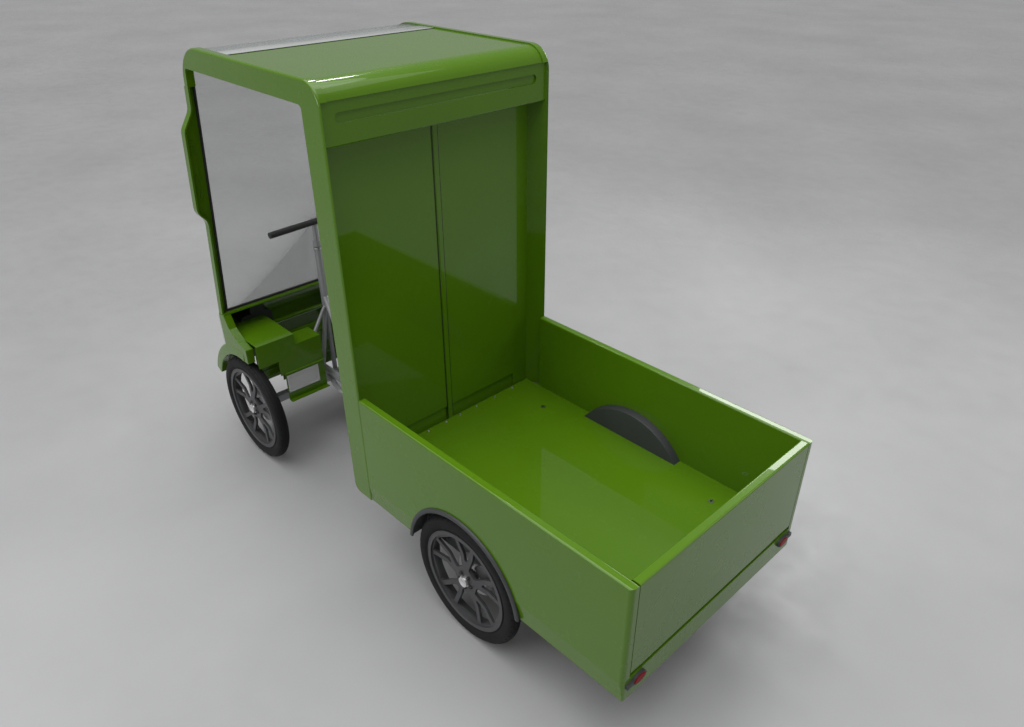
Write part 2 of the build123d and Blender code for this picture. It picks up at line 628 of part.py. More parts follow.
for x in (bow_x, SEAT_X + 15, REAR_AXLE + 283, REAR_AXLE - 287, RAIL_END + 20):
    half_frame += rod((x, 0, RAIL_HEIGHT), (x, RAIL_Y, RAIL_HEIGHT), CROSS_RADIUS)
pad_in = RAIL_Y - RAIL_RADIUS + 3
pad_out = RAIL_Y + RAIL_RADIUS - 3
half_frame += block(FRONT_AXLE - BEAM_HALF, FRONT_AXLE + BEAM_HALF, pad_in, pad_out,
                    AXLE_HEIGHT + BEAM_HALF, RAIL_HEIGHT)
half_frame += block(REAR_AXLE - PAD_HALF, REAR_AXLE + PAD_HALF, pad_in, pad_out, AXLE_PAD_TOP, RAIL_HEIGHT)
half_frame += block(CRANK_X - UNIT_RADIUS - 10, CRANK_X + UNIT_RADIUS + 10, 0, RAIL_Y,
                    RAIL_HEIGHT - UNIT_PLATE, RAIL_HEIGHT + UNIT_PLATE)
frame = half_frame + flip(half_frame)
frame += upright(SEAT_X, 0, MAST_RADIUS, RAIL_HEIGHT, MAST_TOP)
frame += rod((SEAT_X + 15, 0, RAIL_HEIGHT), (SEAT_X, 0, RAIL_HEIGHT), CROSS_RADIUS)
frame -= upright(SEAT_X, 0, POST_RADIUS + SEAT_GAP, MAST_TOP - POST_SUNK, MAST_TOP + CUT)
keep("chassis_frame", frame)

# Front subframe: head tube on struts
half_sub = rod((column_x, 0, head_low + 30), (FRONT_AXLE + 8, RAIL_Y, RAIL_HEIGHT), STRUT_RADIUS)
half_sub += rod((column_x, 0, head_low + 60), (FRONT_AXLE - STRUT_REACH, RAIL_Y, RAIL_HEIGHT),
                STRUT_RADIUS + 2)
well_strut = rod((column_x, 0, head_low + 14), (STEP_FRONT - 30, WELL_STEP + 20, STEP_TOP - 80),
                 STRUT_RADIUS - 2)
half_sub += well_strut & block(WELL_REAR, NOSE_FRONT, 0, WELL_STEP, 0, SCREEN_BASE)
half_sub += upright(column_x, 0, HEAD_RADIUS, head_low, head_high)
half_sub -= frame
subframe = half_sub + flip(half_sub)
subframe -= upright(column_x, 0, COLUMN_RADIUS + RUNNING_FIT, head_low - 120, head_high + CUT)
keep("front_subframe", subframe)

# Foot tube: a bow bent round under the rails in front of the pedals
bow_height = RAIL_HEIGHT - RAIL_RADIUS - BOW_RADIUS
bow_line = FilletPolyline(
    (FRONT_AXLE - 37, RAIL_Y, bow_height),
    (bow_x, bow_y, bow_height),
    (bow_x, -bow_y, bow_height),
    (FRONT_AXLE - 37, -RAIL_Y, bow_height),
    radius=3 * BOW_RADIUS,
)
bow_start = Plane(origin=bow_line @ 0, z_dir=bow_line % 0)
bow = sweep(bow_start * Circle(BOW_RADIUS), path=bow_line)
keep("foot_tube", bow)

# Saddle on its post
saddle_low = SEAT_TOP - SADDLE_TALL
seat_post = upright(SEAT_X, 0, POST_RADIUS, MAST_TOP - POST_SUNK, saddle_low)
seat_post += block(SEAT_X - 60, SEAT_X + 60, -24, 24, saddle_low - SADDLE_PLATE, saddle_low)
keep("seat_post", seat_post)
saddle_plan = outline(
    (SEAT_X - SADDLE_BACK, -SADDLE_HALF, 34),
    (SEAT_X - 20, 8 - SADDLE_HALF, 60),
    (SEAT_X + 60, -SADDLE_NOSE_HALF - 2, 60),
    (SEAT_X + SADDLE_NOSE, -SADDLE_NOSE_HALF, 20),
    (SEAT_X + SADDLE_NOSE, SADDLE_NOSE_HALF, 20),
    (SEAT_X + 60, SADDLE_NOSE_HALF + 2, 60),
    (SEAT_X - 20, SADDLE_HALF - 8, 60),
    (SEAT_X - SADDLE_BACK, SADDLE_HALF, 34),
)
saddle = extrude(Pos(0, 0, saddle_low) * saddle_plan, SADDLE_TALL)
keep("saddle", fillet(saddle.edges().group_by(Axis.Z)[-1], SADDLE_ROUND))

# Front axle beam with an eye at each end
beam = block(FRONT_AXLE - BEAM_HALF, FRONT_AXLE + BEAM_HALF, 8 - KINGPIN_Y, KINGPIN_Y - 8,
             AXLE_HEIGHT - BEAM_HALF, AXLE_HEIGHT + BEAM_HALF)
eye_low = AXLE_HEIGHT - EYE_HEIGHT / 2
eye_high = AXLE_HEIGHT + EYE_HEIGHT / 2
for y in (KINGPIN_Y, -KINGPIN_Y):
    beam += upright(FRONT_AXLE, y, EYE_RADIUS, eye_low, eye_high)
    beam -= upright(FRONT_AXLE, y, KINGPIN_RADIUS + RUNNING_FIT, eye_low - CUT, eye_high + CUT)
keep("front_axle", beam)


# Brake calipers straddle their discs and hang on a bracket
def caliper(x_axle):
    turn = math.radians(CALIPER_ANGLE)
    cx = x_axle + CALIPER_ORBIT * math.cos(turn)
    cz = AXLE_HEIGHT + CALIPER_ORBIT * math.sin(turn)
    body = fillet(Box(CALIPER_LONG, CALIPER_WIDE, CALIPER_TALL).edges().filter_by(Axis.Y), CALIPER_ROUND)
    body = Pos(cx, DISC_FACE + DISC_THICK / 2, cz) * Rot(0, CALIPER_ANGLE - 180, 0) * body
    body -= disc(x_axle, AXLE_HEIGHT, DISC_RADIUS + DISC_CLEAR, DISC_FACE - DISC_CLEAR,
                 DISC_FACE + DISC_THICK + DISC_CLEAR)
    middle = BRACKET_FACE - BRACKET_THICK / 2
    bracket = rod((x_axle - 10, middle, AXLE_HEIGHT + 10), (cx + 6, middle, cz - 6), BRACKET_RADIUS)
    slab = block(x_axle - 2 * DISC_RADIUS, x_axle + 2 * DISC_RADIUS, BRACKET_FACE - BRACKET_THICK,
                 BRACKET_FACE, 0, 2 * AXLE_HEIGHT)
    bracket = bracket & slab
    return body + bracket


# Rear axle housing with its drive unit, and a battery pack between the rails
axle = disc(REAR_AXLE, AXLE_HEIGHT, HOUSING_RADIUS, -HOUSING_END, HOUSING_END)
drive = block(REAR_AXLE - DRIVE_LONG / 2, REAR_AXLE + DRIVE_LONG / 2, -DRIVE_HALF, DRIVE_HALF,
              AXLE_HEIGHT - DRIVE_DROP, AXLE_HEIGHT + DRIVE_RISE)
axle += fillet(drive.edges().filter_by(Axis.Y), DRIVE_ROUND)
axle_end = disc(REAR_AXLE, AXLE_HEIGHT, HOUSING_RADIUS + 10, HOUSING_END - 10, HOUSING_END)
axle_end += caliper(REAR_AXLE)
axle_end += block(REAR_AXLE - PAD_HALF, REAR_AXLE + PAD_HALF, pad_in, pad_out, AXLE_HEIGHT, AXLE_PAD_TOP)
axle += axle_end
axle += flip(axle_end)
axle_bore = disc(REAR_AXLE, AXLE_HEIGHT, SPINDLE_RADIUS + RUNNING_FIT,
                 HOUSING_END - BORE_DEPTH, HOUSING_END + 2 * CUT)
axle -= axle_bore
axle -= flip(axle_bore)
keep("rear_axle", axle)
battery_front = BULKHEAD_REAR + 2
battery = block(battery_front - BATTERY_LONG, battery_front, -BATTERY_HALF, BATTERY_HALF,
                BODY_BOTTOM - BATTERY_DROP, FLOOR_BOTTOM - BEARER_TALL)
keep("battery_pack", fillet(battery.edges().filter_by(Axis.Z), BATTERY_ROUND))

# Pedal unit and crank set
unit = block(CRANK_X - UNIT_RADIUS, CRANK_X + UNIT_RADIUS, -UNIT_HALF, UNIT_HALF,
             RAIL_HEIGHT + UNIT_PLATE, CRANK_HEIGHT)
unit += disc(CRANK_X, CRANK_HEIGHT, UNIT_RADIUS, -UNIT_HALF, UNIT_HALF)
unit -= disc(CRANK_X, CRANK_HEIGHT, CRANK_SHAFT + RUNNING_FIT, -UNIT_HALF - CUT, UNIT_HALF + CUT)
keep("pedal_unit", unit)
pedal_in = ARM_OUT + PEDAL_GAP
pedal_out = pedal_in + PEDAL_WIDE


def crank_arm(tip):
    arm = plate(outline(
        (CRANK_X, CRANK_HEIGHT - ARM_ROOT, 0),
        (CRANK_X, CRANK_HEIGHT + ARM_ROOT, 0),
        (tip, CRANK_HEIGHT + ARM_TIP, 0),
        (tip, CRANK_HEIGHT - ARM_TIP, 0),
    ), ARM_IN, ARM_OUT)
    arm += disc(CRANK_X, CRANK_HEIGHT, ARM_ROOT, ARM_IN, ARM_OUT)
    arm += disc(tip, CRANK_HEIGHT, ARM_TIP, ARM_IN, ARM_OUT)
    return arm + disc(tip, CRANK_HEIGHT, LINK_PIN_RADIUS, ARM_IN, pedal_out - 4)


def pedal(tip):
    body = block(tip - PEDAL_HALF, tip + PEDAL_HALF, pedal_in, pedal_out,
                 CRANK_HEIGHT - PEDAL_THICK / 2, CRANK_HEIGHT + PEDAL_THICK / 2)
    body = fillet(body.edges().filter_by(Axis.Z), 8)
    return body - disc(tip, CRANK_HEIGHT, LINK_PIN_RADIUS + RUNNING_FIT, pedal_in - CUT, pedal_out + CUT)


crank = disc(CRANK_X, CRANK_HEIGHT, CRANK_SHAFT, -ARM_OUT, ARM_OUT)
crank += crank_arm(CRANK_X - CRANK_LENGTH)
crank += flip(crank_arm(CRANK_X + CRANK_LENGTH))
keep("crank_set", crank)
keep("left_pedal", pedal(CRANK_X - CRANK_LENGTH))
keep("right_pedal", flip(pedal(CRANK_X + CRANK_LENGTH)))

# Steering column with pitman arm and stem
bar_x = column_x - BAR_BACK
pitman_x = column_x + STEER_ARM
pin_low = ROD_HEIGHT - ROD_RADIUS - 3
column = upright(column_x, 0, COLUMN_RADIUS, ARM_BOTTOM, COLUMN_TOP)
column += upright(column_x, 0, COLUMN_RADIUS + 4, COLUMN_TOP - 30, COLUMN_TOP)
column += upright(column_x, 0, COLUMN_RADIUS + 6, head_high + 4, head_high + 30)
column += upright(column_x, 0, COLUMN_RADIUS + 8, ARM_BOTTOM, ARM_BOTTOM + 2 * ARM_THICK)
column += block(column_x, pitman_x, -LINK_EYE_RADIUS, LINK_EYE_RADIUS, ARM_BOTTOM, ARM_BOTTOM + ARM_THICK)
column += upright(pitman_x, 0, LINK_EYE_RADIUS, ARM_BOTTOM, ARM_BOTTOM + ARM_THICK)
column += upright(pitman_x, 0, LINK_PIN_RADIUS, pin_low, ARM_BOTTOM + CUT)
column += plate(outline(
    (column_x, COLUMN_TOP - 30, 0),
    (column_x, COLUMN_TOP, 0),
    (bar_x, BAR_HEIGHT + CLAMP_RADIUS - 2, 0),
    (bar_x, BAR_HEIGHT - CLAMP_RADIUS + 2, 0),
), -CLAMP_HALF, CLAMP_HALF)
column += disc(bar_x, BAR_HEIGHT, CLAMP_RADIUS, -CLAMP_HALF, CLAMP_HALF)
column -= disc(bar_x, BAR_HEIGHT, BAR_RADIUS + SEAT_GAP, -CLAMP_HALF - CUT, CLAMP_HALF + CUT)
keep("steering_column", column)

# Handlebar, swept back from a straight middle, with a grip on each end
bend = (bar_x, 2 * CLAMP_HALF, BAR_HEIGHT)
tip = (bar_x - BAR_SWEEP, BAR_HALF, BAR_HEIGHT)
reach = Vector(*tip) - Vector(*bend)
towards = reach.normalized()
half_bar = disc(bar_x, BAR_HEIGHT, BAR_RADIUS, 0, 2 * CLAMP_HALF) + rod(bend, tip, BAR_RADIUS)
half_bar += Pos(*bend) * Sphere(BAR_RADIUS)
keep("handlebar", half_bar + flip(half_bar))
grip_start = Vector(*tip) - towards * GRIP_LENGTH
grip = rod(grip_start, Vector(*tip) + towards * 4, GRIP_RADIUS)
grip -= rod(grip_start - towards * CUT, Vector(*tip) + towards * SEAT_GAP, BAR_RADIUS + SEAT_GAP)
keep_pair("grip", grip)

# Front knuckles: a yoke round the axle's eye, the stub spindle, the steering arm and the caliper
yoke_low = eye_low - YOKE_GAP - ARM_THICK
yoke_high = eye_high + YOKE_GAP
web_out = DISC_FACE - 6
link_x = FRONT_AXLE + STEER_ARM
knuckle = upright(FRONT_AXLE, KINGPIN_Y, KINGPIN_RADIUS, ARM_BOTTOM, yoke_high + ARM_THICK)
for z in (yoke_low, yoke_high):
    knuckle += block(FRONT_AXLE - YOKE_HALF, FRONT_AXLE + YOKE_HALF, KINGPIN_Y, web_out, z, z + ARM_THICK)
    knuckle += upright(FRONT_AXLE, KINGPIN_Y, YOKE_HALF, z, z + ARM_THICK)
knuckle += block(FRONT_AXLE - YOKE_HALF, FRONT_AXLE + YOKE_HALF, web_out - ARM_THICK, web_out,
                 yoke_low, yoke_high + ARM_THICK)
knuckle += disc(FRONT_AXLE, AXLE_HEIGHT, SPINDLE_RADIUS, web_out - CUT, WHEEL_PLANE + 15)
knuckle += block(FRONT_AXLE, link_x, KINGPIN_Y - 12, KINGPIN_Y + 12, ARM_BOTTOM, ARM_BOTTOM + ARM_THICK)
knuckle += upright(link_x, KINGPIN_Y, LINK_EYE_RADIUS, ARM_BOTTOM, ARM_BOTTOM + ARM_THICK)
knuckle += upright(link_x, KINGPIN_Y, LINK_PIN_RADIUS, pin_low, ARM_BOTTOM + CUT)
knuckle += caliper(FRONT_AXLE)
keep_pair("knuckle", knuckle)

# Tie rod, carried by the pitman arm and both knuckles' arms
tie = rod((link_x, -KINGPIN_Y, ROD_HEIGHT), (link_x, KINGPIN_Y, ROD_HEIGHT), ROD_RADIUS)
tie += block(link_x, pitman_x, -12, 12, ROD_HEIGHT - ROD_RADIUS + 1, ROD_HEIGHT + ROD_RADIUS - 1)
eyes = ((link_x, KINGPIN_Y), (link_x, -KINGPIN_Y), (pitman_x, 0.0))
for x, y in eyes:
    tie += upright(x, y, LINK_EYE_RADIUS, ROD_HEIGHT - ROD_RADIUS - 1, ROD_HEIGHT + ROD_RADIUS + 1)
for x, y in eyes:
    tie -= upright(x, y, LINK_PIN_RADIUS + RUNNING_FIT, ROD_HEIGHT - 20, ROD_HEIGHT + 20)
keep("tie_rod", tie)

# Tyres: a round tread and bulged walls turned about the axle
wall_low = BEAD_RADIUS + 9
wall_mid = TYRE_RADIUS - 27
tread_edge = TYRE_RADIUS - 8
tread_half = TYRE_HALF - 8
tyre_line = [
    Line((-BEAD_HALF, BEAD_RADIUS), (BEAD_HALF, BEAD_RADIUS)),
    Line((BEAD_HALF, BEAD_RADIUS), (BEAD_HALF, wall_low)),
    Line((BEAD_HALF, wall_low), (TYRE_HALF - 2, wall_low + 10)),
    ThreePointArc((TYRE_HALF - 2, wall_low + 10), (TYRE_HALF, wall_mid), (tread_half, tread_edge)),
    ThreePointArc((tread_half, tread_edge), (0, TYRE_RADIUS), (-tread_half, tread_edge)),
    ThreePointArc((-tread_half, tread_edge), (-TYRE_HALF, wall_mid), (2 - TYRE_HALF, wall_low + 10)),
    Line((2 - TYRE_HALF, wall_low + 10), (-BEAD_HALF, wall_low)),
    Line((-BEAD_HALF, wall_low), (-BEAD_HALF, BEAD_RADIUS)),
]
tyre = revolve(Plane.YZ * make_face(tyre_line), Axis.Y)

# Rims: a channel for the tyre, and a dished web whose windows leave paired spokes
seat = BEAD_RADIUS - SEAT_GAP
band_in = BEAD_RADIUS - RIM_BAND
rim = revolve(Plane.YZ * outline(
    (-RIM_HALF, band_in, 0),
    (RIM_HALF, band_in, 0),
    (RIM_HALF, RIM_RADIUS, 0),
    (BEAD_HALF, RIM_RADIUS, 0),
    (BEAD_HALF, seat, 0),
    (-BEAD_HALF, seat, 0),
    (-BEAD_HALF, RIM_RADIUS, 0),
    (-RIM_HALF, RIM_RADIUS, 0),
), Axis.Y)
boss_face = 14.0
boss_back = -16.0
web = revolve(Plane.YZ * outline(
    (boss_face - SPOKE_WEB, BARREL_RADIUS, 0),
    (boss_face, BARREL_RADIUS, 0),
    (boss_face, BOSS_RADIUS, 0),
    (boss_face - SPOKE_DISH, (BOSS_RADIUS + band_in) / 2, 60),
    (boss_face, band_in + 4, 0),
    (boss_face - SPOKE_WEB, band_in + 4, 0),
    (boss_face - SPOKE_DISH - SPOKE_WEB, (BOSS_RADIUS + band_in) / 2, 60),
    (boss_face - SPOKE_WEB, BOSS_RADIUS, 0),
), Axis.Y)


def window(middle, inner, inner_spread, outer, outer_spread, turn):
    corners = []
    inside = ((inner, -inner_spread), (inner, inner_spread))
    outside = ((outer, outer_spread), (outer, -outer_spread))
    for radius, angle in inside + outside:
        way = math.radians(middle + angle)
        corners.append((radius * math.sin(way), radius * math.cos(way), turn))
    return plate(outline(*corners), -RIM_HALF - CUT, RIM_HALF)


pitch = 360 / SPOKE_PAIRS
window_outer = band_in - 3
for pair in range(SPOKE_PAIRS):
    web -= window(pair * pitch, BOSS_RADIUS + 46, 3.5, window_outer, 11, 5)
    web -= window((pair + 0.5) * pitch, BOSS_RADIUS + 16, 0.27 * pitch, window_outer, 0.27 * pitch, 9)
rim += web
rim += disc(0, 0, BOSS_RADIUS, boss_back, boss_face)
rim -= disc(0, 0, BARREL_RADIUS + SEAT_GAP, -RIM_HALF - CUT, RIM_HALF + CUT)

# Hubs: barrel, brake disc, mounting flange and end cap, bored for a stub or carrying a half shaft
face = DISC_FACE - WHEEL_PLANE
hub = disc(0, 0, BARREL_RADIUS, face, boss_face + 6)
hub += disc(0, 0, DISC_RADIUS, face, face + DISC_THICK)
hub += disc(0, 0, BOSS_RADIUS - 6, face, boss_back)
cap = disc(0, 0, CAP_RADIUS, boss_face + 5, boss_face + 12)
hub += fillet(cap.edges().filter_by(GeomType.CIRCLE).sort_by(Axis.Y)[-1], 4)
front_hub = hub - disc(0, 0, SPINDLE_RADIUS + RUNNING_FIT, face - CUT, 17)
rear_hub = hub + disc(0, 0, SPINDLE_RADIUS, face - BORE_DEPTH + 8, face + CUT)
for place, x, centre in (("front", FRONT_AXLE, front_hub), ("rear", REAR_AXLE, rear_hub)):
    spot = Pos(x, WHEEL_PLANE, AXLE_HEIGHT)
    keep_pair(place + "_tyre", spot * tyre)
    keep_pair(place + "_rim", spot * rim)
    keep_pair(place + "_hub", spot * centre)

for name, solid in pieces.items():
    export_step(solid, "parts/" + name + ".step")
    print(name, len(solid.solids()), round(solid.volume / 1000))
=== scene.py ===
# %% [markdown]
# # Pedal cargo bike with a roofed cab and a load tray
# This lesson dresses a finished CAD model in Blender. The CAD gives every panel, tube and wheel its
# true size and place. Here each of them gets a believable finish, and the small things that CAD
# leaves out are modelled by hand: seals, wheel nuts, tyre tread, the saddle's padding.
# All lengths are metres. +X is forward, +Y is the rider's left and +Z is up.

# %% Load the frame
import json
import math
import bpy
import bmesh
from mathutils import Matrix, Vector


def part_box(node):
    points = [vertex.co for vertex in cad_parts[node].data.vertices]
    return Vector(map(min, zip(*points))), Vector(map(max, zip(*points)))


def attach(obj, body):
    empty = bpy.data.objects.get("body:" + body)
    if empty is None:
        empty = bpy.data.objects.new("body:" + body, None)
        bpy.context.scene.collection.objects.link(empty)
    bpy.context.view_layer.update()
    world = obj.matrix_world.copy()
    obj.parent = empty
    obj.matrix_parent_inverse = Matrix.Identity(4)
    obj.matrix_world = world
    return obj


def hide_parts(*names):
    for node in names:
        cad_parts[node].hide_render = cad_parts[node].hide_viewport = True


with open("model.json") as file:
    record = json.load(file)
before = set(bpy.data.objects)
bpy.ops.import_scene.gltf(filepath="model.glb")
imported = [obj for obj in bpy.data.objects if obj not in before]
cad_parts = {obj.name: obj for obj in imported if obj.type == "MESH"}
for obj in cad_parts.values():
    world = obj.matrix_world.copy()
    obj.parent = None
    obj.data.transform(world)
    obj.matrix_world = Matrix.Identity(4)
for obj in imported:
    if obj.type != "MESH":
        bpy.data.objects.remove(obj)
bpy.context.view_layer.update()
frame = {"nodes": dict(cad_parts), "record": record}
nodes = frame["nodes"]

# %% [markdown]
# ## Camera
# The picture looks down on the tray from behind, over the left rear wheel. A wide lens stands fairly
# close, so the tray's corner looms large and the nose is small. A camera can be aimed by eye, but
# then edges never quite line up. Here the lens, place and turn were solved from the edges of the
# body, and a small shift puts the optical centre where it belongs.

# %% Place the camera
IMAGE_WIDTH, IMAGE_HEIGHT = 1024, 727
FOCAL_PIXELS = 777.74
OPTICAL_CENTRE = (522.47, 386.23)
SENSOR_WIDTH = 36.0
CAMERA_PLACE = (-2.2095, 1.7578, 2.4059)
CAMERA_TURN, CAMERA_DROP, CAMERA_ROLL = -134.395, 32.458, 0.155  # degrees
camera_data = bpy.data.cameras.new("view_camera")
camera = bpy.data.objects.new("view_camera", camera_data)
bpy.context.scene.collection.objects.link(camera)
camera_data.sensor_width = SENSOR_WIDTH
camera_data.lens = FOCAL_PIXELS / IMAGE_WIDTH * SENSOR_WIDTH
camera_data.shift_x = -(OPTICAL_CENTRE[0] - IMAGE_WIDTH / 2) / IMAGE_WIDTH
camera_data.shift_y = (OPTICAL_CENTRE[1] - IMAGE_HEIGHT / 2) / IMAGE_WIDTH
turn = Matrix.Rotation(math.radians(CAMERA_TURN), 3, "Z")
tilt = Matrix.Rotation(math.radians(90 - CAMERA_DROP), 3, "X")
roll = Matrix.Rotation(math.radians(CAMERA_ROLL), 3, "Z")
camera.rotation_euler = (turn @ tilt @ roll).to_euler()
camera.location = CAMERA_PLACE
bpy.context.scene.camera = camera
print("lens", round(camera_data.lens, 2), "mm")

# %% [markdown]
# ## Floor and light
# Gloss paint shows whatever stands round it, so the stage matters as much as the paint. A wide pale
# floor is mirrored in every upright panel. One hard sun would be simpler, but it would cut black
# shadows. So a very wide, soft sun lights the floor evenly to its far end, four soft lamps round the
# bike give long highlights, a small one makes the roof glint, and an even world fills the shade.

# %% Floor
FLOOR_SIZE = 140.0
FLOOR_DROP = 0.0005


def deselect():
    if bpy.context.object and bpy.context.object.mode != "OBJECT":
        bpy.ops.object.mode_set(mode="OBJECT")
    bpy.ops.object.select_all(action="DESELECT")


deselect()
bpy.ops.mesh.primitive_plane_add(size=FLOOR_SIZE, location=(0, 0, -FLOOR_DROP))
floor = bpy.context.object
floor.name = "studio_floor"
print("floor laid,", FLOOR_SIZE, "m wide")

# %% Lamps
LAMPS = (
    # name, place, aim, size, watts
    ("overhead_lamp", (-0.6, 0.6, 4.6), (0, 0, 0.4), (4.5, 4.5), 60),
    ("rear_lamp", (-4.6, -2.6, 2.6), (0, 0, 1.3), (3.0, 1.6), 24),
    ("left_lamp", (0.8, 5.0, 2.4), (0, 0, 0.6), (3.0, 1.6), 60),
    ("right_lamp", (0.1, -3.7, 3.0), (-1.0, -0.5, 0.8), (1.6, 0.9), 40),
    ("glint_lamp", (1.67, -1.10, 3.99), (0.10, 0.40, 1.90), (0.5, 0.14), 7),
)


def hang(lamp, direction):
    holder = bpy.data.objects.new(lamp.name, lamp)
    holder.rotation_euler = Vector(direction).to_track_quat("-Z", "Y").to_euler()
    bpy.context.scene.collection.objects.link(holder)
    return holder


for name, spot, aim, size, watts in LAMPS:
    lamp = bpy.data.lights.new(name, "AREA")
    lamp.shape = "RECTANGLE"
    lamp.size, lamp.size_y = size
    lamp.energy = watts
    hang(lamp, Vector(aim) - Vector(spot)).location = spot
print("lamps", len(bpy.data.lights))

# %% Sky light and world
SKY_STRENGTH = 2.4
SKY_SPREAD = math.radians(80)
SKY_DIRECTION = (-0.16, -0.12, -0.96)
WORLD_STRENGTH = 0.27
sky_light = bpy.data.lights.new("sky_light", "SUN")
sky_light.energy = SKY_STRENGTH
sky_light.angle = SKY_SPREAD
hang(sky_light, SKY_DIRECTION)
world = bpy.data.worlds.new("studio_world")
bpy.context.scene.world = world
world.use_nodes = True
background = world.node_tree.nodes["Background"]
background.inputs["Color"].default_value = (1.0, 1.0, 1.0, 1.0)
background.inputs["Strength"].default_value = WORLD_STRENGTH
bpy.context.scene.view_settings.view_transform = "Standard"
print("sky light", SKY_STRENGTH, "world", WORLD_STRENGTH)

# %% [markdown]
# ## Shared surface effects
# Real finishes are never one flat number. Each material could have its own tangle of nodes, but then
# a change has to be made many times. So three small node groups are built once and used with
# different values: a slow drift of tone over a panel, a fine grain for bumps, and a film of road
# dust that thickens towards the ground. A group gives out only values that change over the surface;
# the shader itself stays in each material.

# %% Group helpers
NOISE_LOW, NOISE_HIGH = 0.3, 0.7  # the band in which nearly all of a noise lies


def socket(group, name, kind, way, value=None):
    made = group.interface.new_socket(name=name, in_out=way, socket_type=kind)
    if value is not None:
        made.default_value = value


def add(tree, kind, place, **values):
    node = tree.nodes.new(kind)
    node.location = place
    for key, value in values.items():
        setattr(node, key, value)
    return node


def noise(tree, place, scale, detail, rough=0.5):
    node = add(tree, "ShaderNodeTexNoise", place)
    node.inputs["Scale"].default_value = scale
    node.inputs["Detail"].default_value = detail
    node.inputs["Roughness"].default_value = rough
    return node


def noise_range(tree, place):
    node = add(tree, "ShaderNodeMapRange", place)
    node.inputs["From Min"].default_value = NOISE_LOW
    node.inputs["From Max"].default_value = NOISE_HIGH
    return node


print("noise band", NOISE_LOW, "to", NOISE_HIGH)

# %% Tone drift group
tone = bpy.data.node_groups.new("tone_drift", "ShaderNodeTree")
socket(tone, "Color", "NodeSocketColor", "INPUT", (0.5, 0.5, 0.5, 1))
socket(tone, "Scale", "NodeSocketFloat", "INPUT", 3.0)
socket(tone, "Amount", "NodeSocketFloat", "INPUT", 0.06)
socket(tone, "Color", "NodeSocketColor", "OUTPUT")
t_in = add(tone, "NodeGroupInput", (-700, 0))
t_out = add(tone, "NodeGroupOutput", (500, 0))
t_where = add(tone, "ShaderNodeTexCoord", (-700, -220))
t_noise = noise(tone, (-450, -120), 3.0, 3.0)
t_low = add(tone, "ShaderNodeMath", (-200, -200), operation="SUBTRACT")
t_low.inputs[0].default_value = 1.0
t_range = noise_range(tone, (0, -120))
t_range.inputs["To Max"].default_value = 1.0
t_mix = add(tone, "ShaderNodeMix", (260, 40), data_type="RGBA", blend_type="MULTIPLY")
t_mix.inputs["Factor"].default_value = 1.0
tone.links.new(t_where.outputs["Object"], t_noise.inputs["Vector"])
tone.links.new(t_in.outputs["Scale"], t_noise.inputs["Scale"])
tone.links.new(t_noise.outputs["Fac"], t_range.inputs["Value"])
tone.links.new(t_in.outputs["Amount"], t_low.inputs[1])
tone.links.new(t_low.outputs[0], t_range.inputs["To Min"])
tone.links.new(t_in.outputs["Color"], t_mix.inputs["A"])
tone.links.new(t_range.outputs["Result"], t_mix.inputs["B"])
tone.links.new(t_mix.outputs["Result"], t_out.inputs["Color"])
print("group", tone.name)

# %% Fine grain group
grain = bpy.data.node_groups.new("fine_grain", "ShaderNodeTree")
socket(grain, "Scale", "NodeSocketFloat", "INPUT", 400.0)
socket(grain, "Rough Low", "NodeSocketFloat", "INPUT", 0.3)
socket(grain, "Rough High", "NodeSocketFloat", "INPUT", 0.4)
socket(grain, "Height", "NodeSocketFloat", "OUTPUT")
socket(grain, "Roughness", "NodeSocketFloat", "OUTPUT")
g_in = add(grain, "NodeGroupInput", (-700, 0))
g_out = add(grain, "NodeGroupOutput", (400, 0))
g_where = add(grain, "ShaderNodeTexCoord", (-700, -220))
g_fine = noise(grain, (-400, 80), 400.0, 2.0)
g_slow = noise(grain, (-400, -200), 7.0, 4.0, 0.6)
g_range = noise_range(grain, (0, -160))
grain.links.new(g_where.outputs["Object"], g_fine.inputs["Vector"])
grain.links.new(g_where.outputs["Object"], g_slow.inputs["Vector"])
grain.links.new(g_in.outputs["Scale"], g_fine.inputs["Scale"])
grain.links.new(g_slow.outputs["Fac"], g_range.inputs["Value"])
grain.links.new(g_in.outputs["Rough Low"], g_range.inputs["To Min"])
grain.links.new(g_in.outputs["Rough High"], g_range.inputs["To Max"])
grain.links.new(g_fine.outputs["Fac"], g_out.inputs["Height"])
grain.links.new(g_range.outputs["Result"], g_out.inputs["Roughness"])
print("group", grain.name)

# %% Road dust group
dust = bpy.data.node_groups.new("road_dust", "ShaderNodeTree")
socket(dust, "Color", "NodeSocketColor", "INPUT", (0.1, 0.1, 0.1, 1))
socket(dust, "Dust Color", "NodeSocketColor", "INPUT", (0.25, 0.23, 0.2, 1))
socket(dust, "Height", "NodeSocketFloat", "INPUT", 0.5)
socket(dust, "Amount", "NodeSocketFloat", "INPUT", 0.2)
socket(dust, "Color", "NodeSocketColor", "OUTPUT")
d_in = add(dust, "NodeGroupInput", (-900, 0))
d_out = add(dust, "NodeGroupOutput", (600, 0))
d_where = add(dust, "ShaderNodeTexCoord", (-900, -260))
d_split = add(dust, "ShaderNodeSeparateXYZ", (-700, -260))
d_fall = add(dust, "ShaderNodeMapRange", (-450, -200))
d_fall.inputs["From Min"].default_value = 0.0
d_fall.inputs["To Min"].default_value = 1.0
d_fall.inputs["To Max"].default_value = 0.0
d_spots = noise(dust, (-450, -480), 22.0, 6.0, 0.65)
d_times = add(dust, "ShaderNodeMath", (-200, -300), operation="MULTIPLY")
d_amount = add(dust, "ShaderNodeMath", (0, -300), operation="MULTIPLY", use_clamp=True)
d_mix = add(dust, "ShaderNodeMix", (300, 60), data_type="RGBA")
dust.links.new(d_where.outputs["Object"], d_split.inputs[0])
